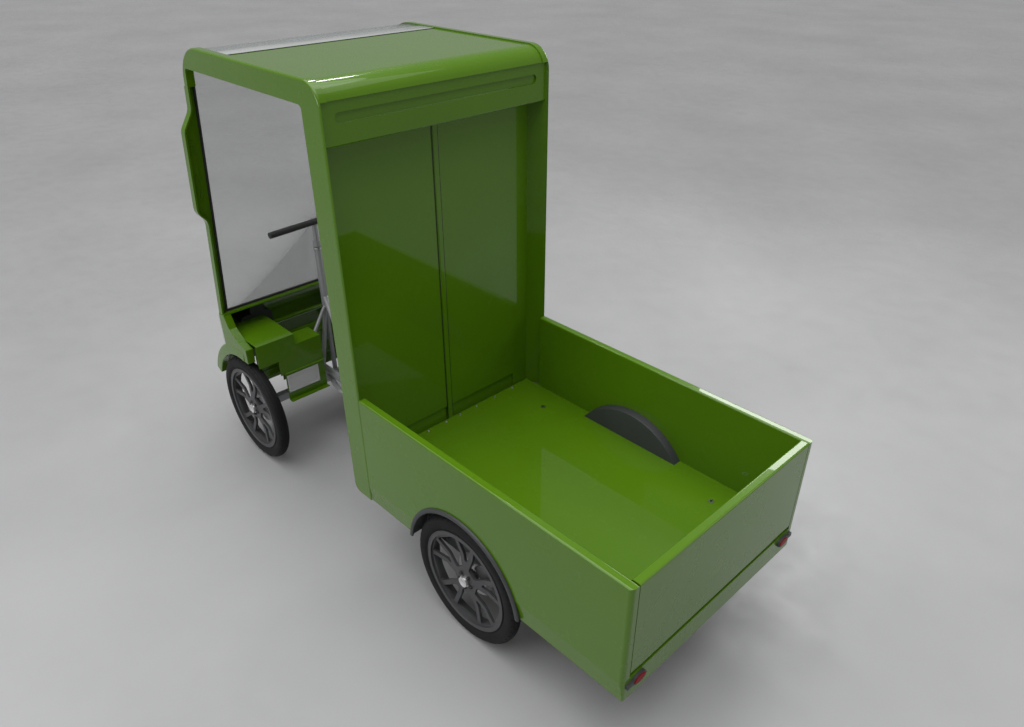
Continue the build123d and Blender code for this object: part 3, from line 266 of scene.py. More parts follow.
dust.links.new(d_where.outputs["Object"], d_spots.inputs["Vector"])
dust.links.new(d_split.outputs["Z"], d_fall.inputs["Value"])
dust.links.new(d_in.outputs["Height"], d_fall.inputs["From Max"])
dust.links.new(d_fall.outputs["Result"], d_times.inputs[0])
dust.links.new(d_spots.outputs["Fac"], d_times.inputs[1])
dust.links.new(d_times.outputs[0], d_amount.inputs[0])
dust.links.new(d_in.outputs["Amount"], d_amount.inputs[1])
dust.links.new(d_amount.outputs[0], d_mix.inputs["Factor"])
dust.links.new(d_in.outputs["Color"], d_mix.inputs["A"])
dust.links.new(d_in.outputs["Dust Color"], d_mix.inputs["B"])
dust.links.new(d_mix.outputs["Result"], d_out.inputs["Color"])
print("group", dust.name)

# %% [markdown]
# ## Finishes
# The bike has lacquered green panels, black rubber, dark cast wheels, grey frame tubes and clear
# glass. Every material starts from the same plan: the tone group drives the colour, the dust group
# lies over it on the parts near the road, and the grain group drives roughness and a shallow bump.
# Only the values differ, so a table holds them, and what is constant, such as the lacquer's coat, is
# set straight on the shader.

# %% Material helper
DUST_HEIGHT = 0.6
BUMP_DISTANCE = 0.0006
SHADER = "Principled BSDF"
finishes = {}


def finish(name, color, rough, grain_scale, bump, drift, metal, dust_amount, drift_scale=3.0):
    made = bpy.data.materials.new(name)
    made.use_nodes = True
    tree = made.node_tree
    shader = tree.nodes[SHADER]
    shader.inputs["Metallic"].default_value = metal
    tone_node = add(tree, "ShaderNodeGroup", (-900, 200), node_tree=tone)
    tone_node.inputs["Color"].default_value = (*color, 1)
    tone_node.inputs["Scale"].default_value = drift_scale
    tone_node.inputs["Amount"].default_value = drift
    colour_out = tone_node.outputs["Color"]
    if dust_amount:
        dust_node = add(tree, "ShaderNodeGroup", (-600, 200), node_tree=dust)
        dust_node.inputs["Amount"].default_value = dust_amount
        dust_node.inputs["Height"].default_value = DUST_HEIGHT
        tree.links.new(colour_out, dust_node.inputs["Color"])
        colour_out = dust_node.outputs["Color"]
    tree.links.new(colour_out, shader.inputs["Base Color"])
    grain_node = add(tree, "ShaderNodeGroup", (-900, -150), node_tree=grain)
    grain_node.inputs["Scale"].default_value = grain_scale
    grain_node.inputs["Rough Low"].default_value = rough[0]
    grain_node.inputs["Rough High"].default_value = rough[1]
    tree.links.new(grain_node.outputs["Roughness"], shader.inputs["Roughness"])
    bump_node = add(tree, "ShaderNodeBump", (-300, -250))
    bump_node.inputs["Strength"].default_value = bump
    bump_node.inputs["Distance"].default_value = BUMP_DISTANCE
    tree.links.new(grain_node.outputs["Height"], bump_node.inputs["Height"])
    tree.links.new(bump_node.outputs["Normal"], shader.inputs["Normal"])
    finishes[name] = made
    return made


def fix(name, constants):
    shader = finishes[name].node_tree.nodes[SHADER]
    for label, value in constants.items():
        shader.inputs[label].default_value = value


print("material plan ready")

# %% Paint, rubber, plastics and metals
MAIN_FINISHES = (
    # name, colour, roughness range, grain scale, bump, drift of tone, metal, dust
    ("body_paint", (0.072, 0.166, 0.0035), (0.22, 0.30), 260, 0.01, 0.05, 0.0, 0.0),
    ("tyre_rubber", (0.010, 0.010, 0.0105), (0.55, 0.72), 500, 0.25, 0.2, 0.0, 0.0),
    ("rim_alloy", (0.075, 0.075, 0.079), (0.36, 0.46), 900, 0.08, 0.06, 0.4, 0.0),
    ("hub_steel", (0.52, 0.52, 0.52), (0.28, 0.42), 600, 0.08, 0.06, 1.0, 0.0),
    ("frame_paint", (0.34, 0.34, 0.36), (0.3, 0.4), 500, 0.05, 0.06, 0.2, 0.1),
    ("drive_alloy", (0.16, 0.16, 0.165), (0.45, 0.6), 700, 0.2, 0.06, 0.8, 0.25),
    ("dark_plastic", (0.035, 0.038, 0.04), (0.42, 0.55), 1100, 0.3, 0.06, 0.0, 0.12),
    ("bar_black", (0.02, 0.02, 0.021), (0.3, 0.4), 700, 0.06, 0.06, 0.0, 0.0),
    ("grip_rubber", (0.02, 0.02, 0.02), (0.6, 0.75), 900, 0.35, 0.06, 0.0, 0.0),
    ("saddle_cover", (0.016, 0.016, 0.017), (0.42, 0.55), 350, 0.5, 0.15, 0.0, 0.0),
    ("lamp_red", (0.20, 0.002, 0.003), (0.30, 0.38), 300, 0.1, 0.06, 0.0, 0.0),
)
for row in MAIN_FINISHES:
    finish(*row)
fix("body_paint", {"Coat Weight": 0.8, "Coat Roughness": 0.02, "Coat IOR": 1.46,
                   "Specular IOR Level": 0.1})
fix("tyre_rubber", {"Specular IOR Level": 0.2})
fix("lamp_red", {"Specular IOR Level": 0.12})
print("finishes", len(finishes))

# %% [markdown]
# ## Clear glazing
# The screen is clear from straight on and mirrors the sky at a slant. True refraction would do this
# too, but it is slow and makes thin sheets dark. Here the glass is a pale gloss surface whose alpha
# rises with the angle of view.

# %% Glass
GLASS_GRAIN = ((0.02, 0.05), 40, 0.01, 0.02, 0.0, 0.0)
GLASS_BLEND = 0.35


def clear(name, color, low, high):
    tree = finish(name, color, *GLASS_GRAIN).node_tree
    facing = add(tree, "ShaderNodeLayerWeight", (-600, -500))
    facing.inputs["Blend"].default_value = GLASS_BLEND
    span = add(tree, "ShaderNodeMapRange", (-350, -500))
    span.inputs["To Min"].default_value = low
    span.inputs["To Max"].default_value = high
    tree.links.new(facing.outputs["Fresnel"], span.inputs["Value"])
    tree.links.new(span.outputs["Result"], tree.nodes[SHADER].inputs["Alpha"])


clear("glazing", (0.34, 0.36, 0.36), 0.15, 0.6)
clear("lamp_clear", (0.8, 0.82, 0.84), 0.35, 0.8)
print("finishes with glass", len(finishes))

# %% [markdown]
# ## Dress the CAD nodes
# Each panel and tube wears one finish. They could be handed out by hand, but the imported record
# already says which finish each node takes, so a short loop does it.

# %% Hand out the finishes
for row in frame["record"]["subparts"]:
    mesh = nodes[row["node"]].data
    mesh.materials.clear()
    mesh.materials.append(finishes[row["material_slot"]])
floor.data.materials.append(finish("floor_finish", (0.345, 0.345, 0.35), (0.35, 0.6), 30, 0.03,
                                   0.12, 0.0, 0.0, drift_scale=0.7))

# %% [markdown]
# ## Modelling by hand
# The small pieces below are all made the same way as at the desk: add a primitive, go into edit
# mode, pick faces by where they are, extrude, inset, bevel or spin them, and leave edit mode. Meshes
# could also be typed in as lists of points, but operators keep the steps readable. A few helpers
# keep them short. Each finished piece has its place in its mesh and rides on the body that carries it.

# %% Edit-mode helpers
def activate(piece):
    deselect()
    piece.select_set(True)
    bpy.context.view_layer.objects.active = piece


def edit(piece):
    activate(piece)
    bpy.ops.object.mode_set(mode="EDIT")
    bpy.ops.mesh.select_mode(type="FACE")


def leave():
    bpy.ops.object.mode_set(mode="OBJECT")


def take_all():
    bpy.ops.mesh.select_all(action="SELECT")


def choose(piece, test):
    bpy.ops.mesh.select_all(action="DESELECT")
    mesh = bmesh.from_edit_mesh(piece.data)
    for face in mesh.faces:
        face.select_set(test(face.calc_center_median(), face.normal))
    bmesh.update_edit_mesh(piece.data)


print("edit helpers ready")

# %% Shaping helpers
FACING = 0.9  # a normal's share along an axis above which a face looks that way


def top(middle, normal):
    return normal.z > FACING


def ends(middle, normal):
    return abs(normal.z) > FACING


def push(distance):
    bpy.ops.mesh.extrude_region_shrink_fatten(TRANSFORM_OT_shrink_fatten={"value": distance})


def carve(thickness, distance):
    bpy.ops.mesh.inset(thickness=thickness)
    push(distance)


def soften(offset, segments=2):
    bpy.ops.mesh.bevel(offset=offset, segments=segments, affect="EDGES")


def face_out():
    take_all()
    bpy.ops.mesh.normals_make_consistent(inside=False)


print("shaping helpers ready")

# %% Placing, copying and joining
SMOOTH_ANGLE = math.radians(35)
FLIP = Matrix.Scale(-1, 4, (0, 1, 0))
SIDES = (("left", 1), ("right", -1))


def place(piece, matrix):
    piece.data.transform(matrix)
    return piece


def towards(point, direction):
    turned = Vector(direction).to_track_quat("Z", "Y").to_matrix().to_4x4()
    return Matrix.Translation(Vector(point)) @ turned


def twin(piece, name, matrix):
    made = bpy.data.objects.new(name, piece.data.copy())
    bpy.context.scene.collection.objects.link(made)
    made.data.transform(matrix)
    if matrix.determinant() < 0:
        edit(made)
        take_all()
        bpy.ops.mesh.flip_normals()
        leave()
    return made


def copies(master, matrices):
    made = [twin(master, "copy", matrix) for matrix in matrices]
    bpy.data.objects.remove(master)
    return made


def join(name, parts):
    deselect()
    for part in parts:
        part.select_set(True)
    bpy.context.view_layer.objects.active = parts[0]
    if len(parts) > 1:
        bpy.ops.object.join()
    parts[0].name = name
    parts[0].data.name = name
    return parts[0]


def settle(piece, body, material):
    piece.data.materials.clear()
    piece.data.materials.append(finishes[material])
    activate(piece)
    bpy.ops.object.shade_smooth_by_angle(angle=SMOOTH_ANGLE)
    deselect()
    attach(piece, body)
    print(piece.name, "faces:", len(piece.data.polygons), "on", body)
    return piece


print("smooth below", round(math.degrees(SMOOTH_ANGLE)), "degrees")

# %% Bars and discs
def bar(low, high, round_edge, segments=2):
    low, high = Vector(low), Vector(high)
    deselect()
    bpy.ops.mesh.primitive_cube_add(size=1.0, location=(low + high) / 2, scale=high - low)
    piece = bpy.context.object
    bpy.ops.object.transform_apply(location=True, rotation=True, scale=True)
    edit(piece)
    take_all()
    soften(round_edge, segments)
    leave()
    return piece


def side_bar(sign, low, high, round_edge, segments=2):
    # the corners are given for the left side; a sign of -1 puts the bar on the right
    near, far = sorted((sign * low[1], sign * high[1]))
    return bar((low[0], near, low[2]), (high[0], far, high[2]), round_edge, segments)


def disc(vertices, radius, depth, middle=(0, 0, 0)):
    deselect()
    bpy.ops.mesh.primitive_cylinder_add(vertices=vertices, radius=radius, depth=depth,
                                        location=middle)
    piece = bpy.context.object
    bpy.ops.object.transform_apply(location=True, rotation=True, scale=True)
    return piece


print("bars and discs ready")

# %% Flanged bolts
FLANGE_WIDE, FLANGE_SHARE = 1.45, 0.3  # of the head's radius, of the bolt's height
HEAD_ROUND, DISH_WALL = 0.14, 0.25     # of the head's radius
HEAD_TOP, DISH_DEPTH = 0.95, 0.12      # of the bolt's height


def bolt(radius, tall):
    flange = disc(24, radius * FLANGE_WIDE, tall * FLANGE_SHARE, (0, 0, tall * FLANGE_SHARE / 2))
    head = disc(6, radius, tall * (1 - FLANGE_SHARE), (0, 0, tall * (1 + FLANGE_SHARE) / 2))
    edit(head)
    choose(head, top)
    soften(radius * HEAD_ROUND)
    choose(head, lambda middle, normal: top(middle, normal) and middle.z > tall * HEAD_TOP)
    carve(radius * DISH_WALL, -tall * DISH_DEPTH)
    leave()
    return join("bolt", [flange, head])


def bolts(name, spots, radius, tall, body, material):
    made = copies(bolt(radius, tall), [towards(point, direction) for point, direction in spots])
    return settle(join(name, made), body, material)


def bolt_circle(centre, radius, count, sign):
    spots = []
    for number in range(count):
        angle = math.tau * (number + 0.5) / count
        away = Vector((math.sin(angle), 0, math.cos(angle))) * radius
        spots.append((Vector(centre) + away, (0, sign, 0)))
    return spots


print("bolts ready")

# %% Finishes for the small pieces
SMALL_FINISHES = (
    # name, colour, roughness range, grain scale, bump, drift of tone, metal, dust
    ("seal_rubber", (0.012, 0.012, 0.013), (0.45, 0.6), 700, 0.15, 0.2, 0.0, 0.0),
    ("bright_steel", (0.55, 0.55, 0.56), (0.22, 0.34), 500, 0.05, 0.06, 1.0, 0.0),
    ("cap_silver", (0.62, 0.62, 0.63), (0.35, 0.45), 800, 0.05, 0.06, 0.3, 0.0),
    ("dark_steel", (0.05, 0.05, 0.052), (0.4, 0.5), 700, 0.1, 0.06, 0.6, 0.0),
    ("lap_grey", (0.36, 0.37, 0.37), (0.12, 0.2), 200, 0.02, 0.06, 0.0, 0.0),
    ("chrome", (0.75, 0.76, 0.78), (0.04, 0.09), 60, 0.01, 0.06, 1.0, 0.0),
)
for row in SMALL_FINISHES:
    finish(*row)
print("small finishes", len(SMALL_FINISHES))

# %% [markdown]
# ## Tyres
# A narrow road tyre has a rounded tread with shallow grooves and a plain bulged wall. A torus has the
# wrong section, and a bump map would leave the outline smooth. So one section is drawn as a ring of
# points and spun about the axle. On every fourth step the ribs get a sipe: the face is inset and
# pushed in. The one tyre is then copied to four wheels, where it stands for the smooth CAD tyre.

# %% Section and spin
MILLIMETRE = 0.001
MERGE = 0.00002


def outline(points):
    deselect()
    bpy.ops.mesh.primitive_circle_add(vertices=len(points), radius=0.02)
    ring = bpy.context.object
    for vertex, point in zip(ring.data.vertices, points):
        vertex.co = Vector(point) * MILLIMETRE
    return ring


def spin(piece, steps, angle):
    edit(piece)
    bpy.ops.mesh.select_mode(type="VERT")
    take_all()
    bpy.ops.mesh.spin(steps=steps, angle=angle, center=(0, 0, 0), axis=(0, 1, 0))
    take_all()
    bpy.ops.mesh.remove_doubles(threshold=MERGE)


print("points closer than", MERGE, "m are merged")

# %% One tyre
TYRE_STEPS = 192
TYRE_HALF_SECTION = (
    # half width, radius, in millimetres from the bead out to the crown
    (19.3, 203.2), (19.3, 211.5), (21.6, 215.6), (25.4, 221.6), (26.0, 222.6), (26.5, 224.6),
    (27.5, 232.0), (27.9, 240.0), (27.2, 247.0), (25.0, 253.0), (20.2, 258.8), (17.4, 261.1),
    (15.6, 262.3), (15.0, 260.6), (12.9, 261.4), (12.3, 264.2), (9.0, 265.5), (5.4, 266.4),
    (4.8, 264.8), (3.2, 265.0), (2.6, 266.8), (0.9, 266.9),
)
section = [(0, half, radius) for half, radius in TYRE_HALF_SECTION]
section += [(0, -half, radius) for half, radius in reversed(TYRE_HALF_SECTION)]
tyre = outline(section)
spin(tyre, TYRE_STEPS, math.tau)
face_out()
bpy.ops.mesh.select_mode(type="FACE")
print("plain tyre faces", len(bmesh.from_edit_mesh(tyre.data).faces))

# %% Sipes
SIPE_EVERY = 4
SIPE_WALL, SIPE_DEPTH = 0.0022, 0.0016
TREAD_RADIUS = 0.2555
SHOULDER, RIB = (0.0157, 0.0250), (0.0055, 0.0122)


def sipe(middle, normal):
    step = int((math.atan2(middle.x, middle.z) % math.tau) / math.tau * TYRE_STEPS) % SIPE_EVERY
    half = abs(middle.y)
    shoulder = SHOULDER[0] < half < SHOULDER[1] and step == 0
    rib = RIB[0] < half < RIB[1] and step == SIPE_EVERY // 2
    return math.hypot(middle.x, middle.z) > TREAD_RADIUS and (shoulder or rib)


choose(tyre, sipe)
carve(SIPE_WALL, -SIPE_DEPTH)
leave()
print("tyre faces", len(tyre.data.polygons))

# %% Four tyres
AXLE_HEIGHT = 0.267
WHEEL_PLANE = 0.472
FRONT_AXLE, REAR_AXLE = 0.967, -0.613
WHEELS = (
    # side, end, axle position, side sign
    ("left", "front", FRONT_AXLE, 1), ("right", "front", FRONT_AXLE, -1),
    ("left", "rear", REAR_AXLE, 1), ("right", "rear", REAR_AXLE, -1),
)
for side, end, axle, sign in WHEELS:
    spot = Matrix.Translation((axle, sign * WHEEL_PLANE, AXLE_HEIGHT))
    made = settle(twin(tyre, f"{side}_{end}_road_tyre", spot), f"{side}_{end}_wheel",
                  "tyre_rubber")
    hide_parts(f"{side}_{end}_tyre")
bpy.data.objects.remove(tyre)

# %% [markdown]
# ## Wheel trim
# A raised edge runs round each rim, five dark nuts hold the boss, a silver cap closes the hub and a
# valve stands between two spokes. All this could be one mesh, but then it would have one finish. So
# each is modelled once and copied to the four wheels. The edge is a ring pressed flat, the valve and
# the cap are discs with carved faces, and the nuts are copies of one bolt.

# %% Rim edge
EDGE_RADIUS, EDGE_THICK, EDGE_PRESS = 0.2068, 0.0016, 0.55
deselect()
bpy.ops.mesh.primitive_torus_add(major_segments=128, minor_segments=10, major_radius=EDGE_RADIUS,
                                 minor_radius=EDGE_THICK, rotation=(math.pi / 2, 0, 0))
edge_ring = bpy.context.object
bpy.ops.object.transform_apply(location=True, rotation=True, scale=True)
edit(edge_ring)
take_all()
bpy.ops.transform.resize(value=(1, EDGE_PRESS, 1), center_override=(0, 0, 0))
leave()
print("rim edge faces", len(edge_ring.data.polygons))

# %% Valve and cap
VALVE_PLACE = (0, 0.006, 0.187)
VALVE_RADIUS, VALVE_FOOT, VALVE_WALL, VALVE_STEM = 0.0028, 0.010, 0.0008, 0.016
CAP_RADIUS, CAP_DEPTH, CAP_MIDDLE = 0.0205, 0.003, (0, 0, 0.0012)
CAP_STEPS, CAP_SINK = (0.0035, 0.009), 0.0007
valve = disc(16, VALVE_RADIUS, VALVE_FOOT, VALVE_PLACE)
edit(valve)
choose(valve, lambda middle, normal: normal.z < -FACING)
carve(VALVE_WALL, VALVE_STEM)
soften(0.0005)
leave()
cap = disc(48, CAP_RADIUS, CAP_DEPTH, CAP_MIDDLE)
edit(cap)
choose(cap, top)
for wall in CAP_STEPS:
    carve(wall, -CAP_SINK)
take_all()
soften(0.0003)
leave()
print("valve and cap faces", len(valve.data.polygons), len(cap.data.polygons))

# %% Trim on four wheels
RIM_FACE, BOSS_FACE, HUB_FACE = 0.023, 0.014, 0.0262  # outward from the wheel's middle plane
NUTS, NUT_CIRCLE = 5, 0.0335
NUT_RADIUS, NUT_TALL = 0.0055, 0.007
for side, end, axle, sign in WHEELS:
    body = f"{side}_{end}_wheel"
    middle = Vector((axle, sign * WHEEL_PLANE, AXLE_HEIGHT))
    out = Vector((0, sign, 0))
    settle(twin(edge_ring, f"{body}_rim_edge", Matrix.Translation(middle + out * RIM_FACE)), body,
           "rim_alloy")
    settle(twin(cap, f"{body}_cap", towards(middle + out * HUB_FACE, out)), body,
           "cap_silver")
    between_spokes = Matrix.Rotation(math.pi / NUTS, 4, "Y")
    settle(twin(valve, f"{body}_valve", Matrix.Translation(middle) @ between_spokes), body,
           "seal_rubber")
    bolts(f"{body}_nuts", bolt_circle(middle + out * BOSS_FACE, NUT_CIRCLE, NUTS, sign),
          NUT_RADIUS, NUT_TALL, body, "dark_steel")
for master in (edge_ring, valve, cap):
    bpy.data.objects.remove(master)

# %% [markdown]
# ## Screen seal and joint strips
# A black rubber section holds the screen in its opening. Four bars would show joints at the corners.
# So it is one plane laid on the glass, inset to a frame, emptied in the middle, opened at the top,
# where the glass bends into the roof, and extruded. The two joints beside the bulkhead's middle post
# and the rear edge of the roof glazing have narrower black strips, which are plain bars.

# %% Screen seal
SCREEN_BASE = Vector((1.093, 0, 0.747))
SCREEN_TOP = Vector((0.900, 0, 1.921))
GLASS = 0.006
SEAL_START, SEAL_END, SEAL_OPEN = 0.004, 1.05, 1.03  # along the screen from its base
SEAL_ACROSS, SEAL_WIDE, SEAL_TALL = 0.948, 0.0095, 0.009
SEAL_GAP, SEAL_ROUND = 0.0002, 0.002
lean = (SCREEN_TOP - SCREEN_BASE).normalized()
across = Vector((0, 1, 0))
inward = lean.cross(across).normalized()


def on_screen(middle, along=1.0, wide=1.0):
    matrix = Matrix((lean * along, across * wide, inward)).transposed().to_4x4()
    matrix.translation = middle
    return matrix


deselect()
bpy.ops.mesh.primitive_plane_add(size=1.0)
seal = bpy.context.object
seal.name = "screen_seal"
seal_middle = SCREEN_BASE + lean * ((SEAL_START + SEAL_END) / 2) + inward * (GLASS + SEAL_GAP)
place(seal, on_screen(seal_middle, SEAL_END - SEAL_START, SEAL_ACROSS))
edit(seal)
take_all()
bpy.ops.mesh.inset(thickness=SEAL_WIDE)
bpy.ops.mesh.delete(type="FACE")
choose(seal, lambda middle, normal: (middle - SCREEN_BASE).dot(lean) > SEAL_OPEN)
bpy.ops.mesh.delete(type="FACE")
take_all()
bpy.ops.mesh.extrude_region_move(TRANSFORM_OT_translate={"value": inward * SEAL_TALL})
face_out()
soften(SEAL_ROUND)
leave()
settle(seal, "chassis", "seal_rubber")

# %% Joint strips
HALF_IN = 0.468
BULKHEAD = 0.042
FLOOR_TOP = 0.440
HEADER_LOW = 1.724
ROOF_FACE = 1.9212
LAP_REAR, LAP_FRONT = 0.600, 0.690
STRIP_WIDE, STRIP_TALL, STRIP_ROUND = 0.006, 0.0014, 0.0004
POST_JOINT, JOINT_PROUD, JOINT_GAP, JOINT_ROUND = (0.0122, 0.0158), 0.0012, 0.0002, 0.0003
strips = [bar((LAP_REAR - STRIP_WIDE, -HALF_IN, ROOF_FACE),
              (LAP_REAR, HALF_IN, ROOF_FACE + STRIP_TALL), STRIP_ROUND)]
for side, sign in SIDES:
    strips.append(side_bar(sign, (BULKHEAD - JOINT_PROUD, POST_JOINT[0], FLOOR_TOP),
                           (BULKHEAD - JOINT_GAP, POST_JOINT[1], HEADER_LOW), JOINT_ROUND))
settle(join("panel_joint_strips", strips), "chassis", "seal_rubber")

# %% [markdown]
# ## Pod rims
# On the front pillars' pods the inner face has a raised rim with two smaller ovals inside it. A curve
# with a bevel could draw them, but a mesh is simpler to lay on the slanting face. Each is a disc,
# inset, opened in the middle, stretched to a slot and extruded off the face.

# %% Pod rims
POD_FACE = Vector((0.9694, 0, 1.4862))
POD_RINGS = (
    # middle's distance to the side, its height, half length, half width, wall, height off the face
    (0.5085, 1.440, 0.130, 0.0165, 0.0030, 0.0025),
    (0.5090, 1.375, 0.052, 0.0085, 0.0028, 0.0020),
    (0.5090, 1.525, 0.022, 0.0080, 0.0028, 0.0020),
)


def slot_ring(middle_y, middle_z, half_long, half_wide, wall, tall):
    deselect()
    bpy.ops.mesh.primitive_circle_add(vertices=40, radius=half_wide, fill_type="NGON")
    ring = bpy.context.object
    edit(ring)
    take_all()
    bpy.ops.mesh.inset(thickness=wall)
    bpy.ops.mesh.delete(type="FACE")
    leave()
    for vertex in ring.data.vertices:
        vertex.co.x += math.copysign(half_long - half_wide, vertex.co.x)
    edit(ring)
    take_all()
    bpy.ops.mesh.extrude_region_move(TRANSFORM_OT_translate={"value": (0, 0, tall)})
    leave()
    middle = POD_FACE + lean * ((middle_z - POD_FACE.z) / lean.z) + across * middle_y
    place(ring, on_screen(middle))
    edit(ring)
    face_out()
    leave()
    return ring


for side, sign in SIDES:
    rings = [slot_ring(sign * row[0], *row[1:]) for row in POD_RINGS]
    settle(join(f"{side}_pod_rims", rings), "chassis", "body_paint")

# %% [markdown]
# ## Screen lap
# The screen bends over onto the roof and laps it by a hand's width. The CAD's glass ends further
# forward. A thin grey gloss bar on the roof carries it back to the joint strip.

# %% Screen lap
LAP_TALL = 0.001
lap = join("screen_lap", [bar((LAP_REAR, -HALF_IN, ROOF_FACE),
                              (LAP_FRONT, HALF_IN, ROOF_FACE + LAP_TALL), STRIP_ROUND)])
settle(lap, "chassis", "lap_grey")

# %% [markdown]
# ## Rear wheel arches
# Each rear wheel runs in a black moulded liner: a half drum that shows inside the tray, a band over
# the tyre and a narrow rolled lip on the body side. Booleans of cylinders would give the drum but not
# the rolled lip. So its section is drawn once, spun half a turn about the axle and cut off level
# with the floor by a bisect.

# %% Arch liners
BODY_BOTTOM = 0.309
ARCH_STEPS = 96
ARCH_SECTION = (
    # distance from the middle, radius, in millimetres
    (430.0, 20.0), (430.0, 296.0), (431.0, 298.6), (433.5, 299.5), (500.3, 299.5), (500.3, 303.0),
    (502.0, 304.4), (505.5, 303.8), (508.6, 301.0), (509.6, 297.0), (509.4, 290.0), (507.8, 287.0),
    (504.0, 286.2), (500.5, 288.0), (498.5, 292.5), (496.0, 294.5), (436.0, 294.5), (434.0, 292.5),
    (434.0, 20.0),
)
liner = outline([(radius, out, 0) for out, radius in ARCH_SECTION])
spin(liner, ARCH_STEPS, math.pi)
bpy.ops.mesh.bisect(plane_co=(0, 0, BODY_BOTTOM - AXLE_HEIGHT), plane_no=(0, 0, 1), use_fill=True,
                    clear_inner=True)
face_out()
leave()
print("liner height", round(max(vertex.co.z for vertex in liner.data.vertices), 3))
place(liner, Matrix.Translation((REAR_AXLE, 0, AXLE_HEIGHT)))
for side, matrix in (("left", Matrix.Identity(4)), ("right", FLIP)):
    made = settle(twin(liner, f"{side}_arch_liner", matrix), "chassis", "dark_plastic")
    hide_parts(f"{side}_rear_arch")
bpy.data.objects.remove(liner)

# %% [markdown]
# ## Splash panels
# In front of the rider's feet thin painted sheets close the wheel wells and the gap under the nose,
# and a pale alloy-coloured sheet on each well's lower edge paints in the floor's reflection that the
# glossy panel shows there. A plane with thickness would do, but a bevelled bar has the folded edge at
# once. Swages, the long raised beads, stiffen the sheets. All of them stop short of the steered
# wheels.

# %% Well aprons and sheets of painted floor reflection
SHEET_ROUND = 0.0012
WELL_BARS = (
    # low corner, high corner (both on the left side), edge radius, segments
    ((0.948, 0.2795, 0.400), (0.952, 0.435, 0.552), SHEET_ROUND, 2),    # apron
    ((0.948, 0.2795, 0.548), (0.952, 0.4635, 0.6395), SHEET_ROUND, 2),  # collar above it
    ((0.946, 0.300, 0.448), (0.950, 0.425, 0.456), 0.0018, 3),          # swage
)
# The pale sheet is painted reflection: its colour stands in for the floor mirrored in the glossy lower
# panel.
REFLECTION_SHEET_BAR = ((0.8485, 0.175, 0.345), (0.8500, 0.346, 0.441), 0.0006)
REFLECTION_SHEET_EDGE, REFLECTION_SHEET_SINK = 0.008, 0.0007
for side, sign in SIDES:
    sheets = [side_bar(sign, *row) for row in WELL_BARS]
    settle(join(f"{side}_well_apron", sheets), "chassis", "body_paint")
    reflection_sheet = side_bar(sign, *REFLECTION_SHEET_BAR)
    edit(reflection_sheet)
    choose(reflection_sheet, lambda middle, normal: normal.x < -FACING)
    carve(REFLECTION_SHEET_EDGE, -REFLECTION_SHEET_SINK)
    leave()
    # The pale sheet paints in the floor's reflection on the lower panel.
    settle(join(f"{side}_painted_reflection_sheet", [reflection_sheet]), "chassis", "cap_silver")

# %% Nose apron
NOSE_SHEET = ((1.045, -0.2735, 0.300), (1.049, 0.2735, 0.555))
NOSE_SWAGE = ((1.043, -0.25, 0), (1.047, 0.25, 0.009))
NOSE_SWAGE_ROUND, NOSE_SWAGE_ROWS = 0.0019, (0.36, 0.43, 0.50)
apron = bar(*NOSE_SHEET, SHEET_ROUND)
swage = bar(*NOSE_SWAGE, NOSE_SWAGE_ROUND, 3)
swages = copies(swage, [Matrix.Translation((0, 0, z)) for z in NOSE_SWAGE_ROWS])
settle(join("nose_apron", [apron] + swages), "chassis", "body_paint")

# %% [markdown]
# ## Tray fittings
# Steel rings line the four bolt holes in the floor, and a few bolts hold the feet of the bulkhead's
# panels. A torus would be round where a washer is flat. So a ring is a disc with both faces inset
# and bridged through.

# %% Floor rings
RING_RADIUS, RING_DEPTH, RING_WALL, RING_LIFT = 0.0115, 0.0018, 0.0057, 0.0012
HOLE_ROWS, HOLE_SIDES = (-1.09, -0.19), (-0.35, 0.35)


def tube(vertices, radius, depth, wall):
    piece = disc(vertices, radius, depth)
    edit(piece)
    choose(piece, ends)
    bpy.ops.mesh.inset(thickness=wall)
    bpy.ops.mesh.bridge_edge_loops()
    return piece


ring = tube(40, RING_RADIUS, RING_DEPTH, RING_WALL)
leave()
rings = copies(ring, [Matrix.Translation((x, y, FLOOR_TOP + RING_LIFT))
                      for x in HOLE_ROWS for y in HOLE_SIDES])
settle(join("floor_bolt_rings", rings), "chassis", "bright_steel")

# %% Bulkhead foot bolts
FOOT_LINE = 0.022
FOOT_BOLTS = (-0.36, -0.25, -0.14, -0.04, 0.04, 0.14, 0.25, 0.36)
SMALL_BOLT, SMALL_TALL = 0.004, 0.005
bolts("bulkhead_foot_bolts", [((FOOT_LINE, y, FLOOR_TOP), (0, 0, 1)) for y in FOOT_BOLTS],
      SMALL_BOLT, SMALL_TALL, "chassis", "bright_steel")

# %% [markdown]
# ## Saddle
# The saddle is foam under a stretched cover: full in the middle, drawn in at its edge. Sculpting would
# do it by feel. Cloth does it by the same cause as on the real one: a copy of the plain CAD saddle is
# merged, remeshed into an even skin and blown up a little under pressure and without gravity, with
# a cap on how far any point may travel. One subdivision smooths it. The welt round its foot is a
# loop of the skin pushed out.

# %% Saddle skin
SADDLE_SHRINK = (0.97, 0.95, 0.90)
SADDLE_MERGE, SADDLE_VOXEL = 0.00005, 0.006
saddle_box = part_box("saddle")
saddle_low, saddle_high = Vector(saddle_box[0]), Vector(saddle_box[1])
pad = bpy.data.objects.new("saddle_pad", nodes["saddle"].data.copy())
bpy.context.scene.collection.objects.link(pad)
edit(pad)
take_all()
bpy.ops.mesh.remove_doubles(threshold=SADDLE_MERGE)
middle = (saddle_low + saddle_high) / 2
bpy.ops.transform.resize(value=SADDLE_SHRINK, center_override=(middle.x, middle.y, saddle_low.z))
leave()
activate(pad)
pad.data.remesh_voxel_size = SADDLE_VOXEL
bpy.ops.object.voxel_remesh()
print("saddle skin points", len(pad.data.vertices))

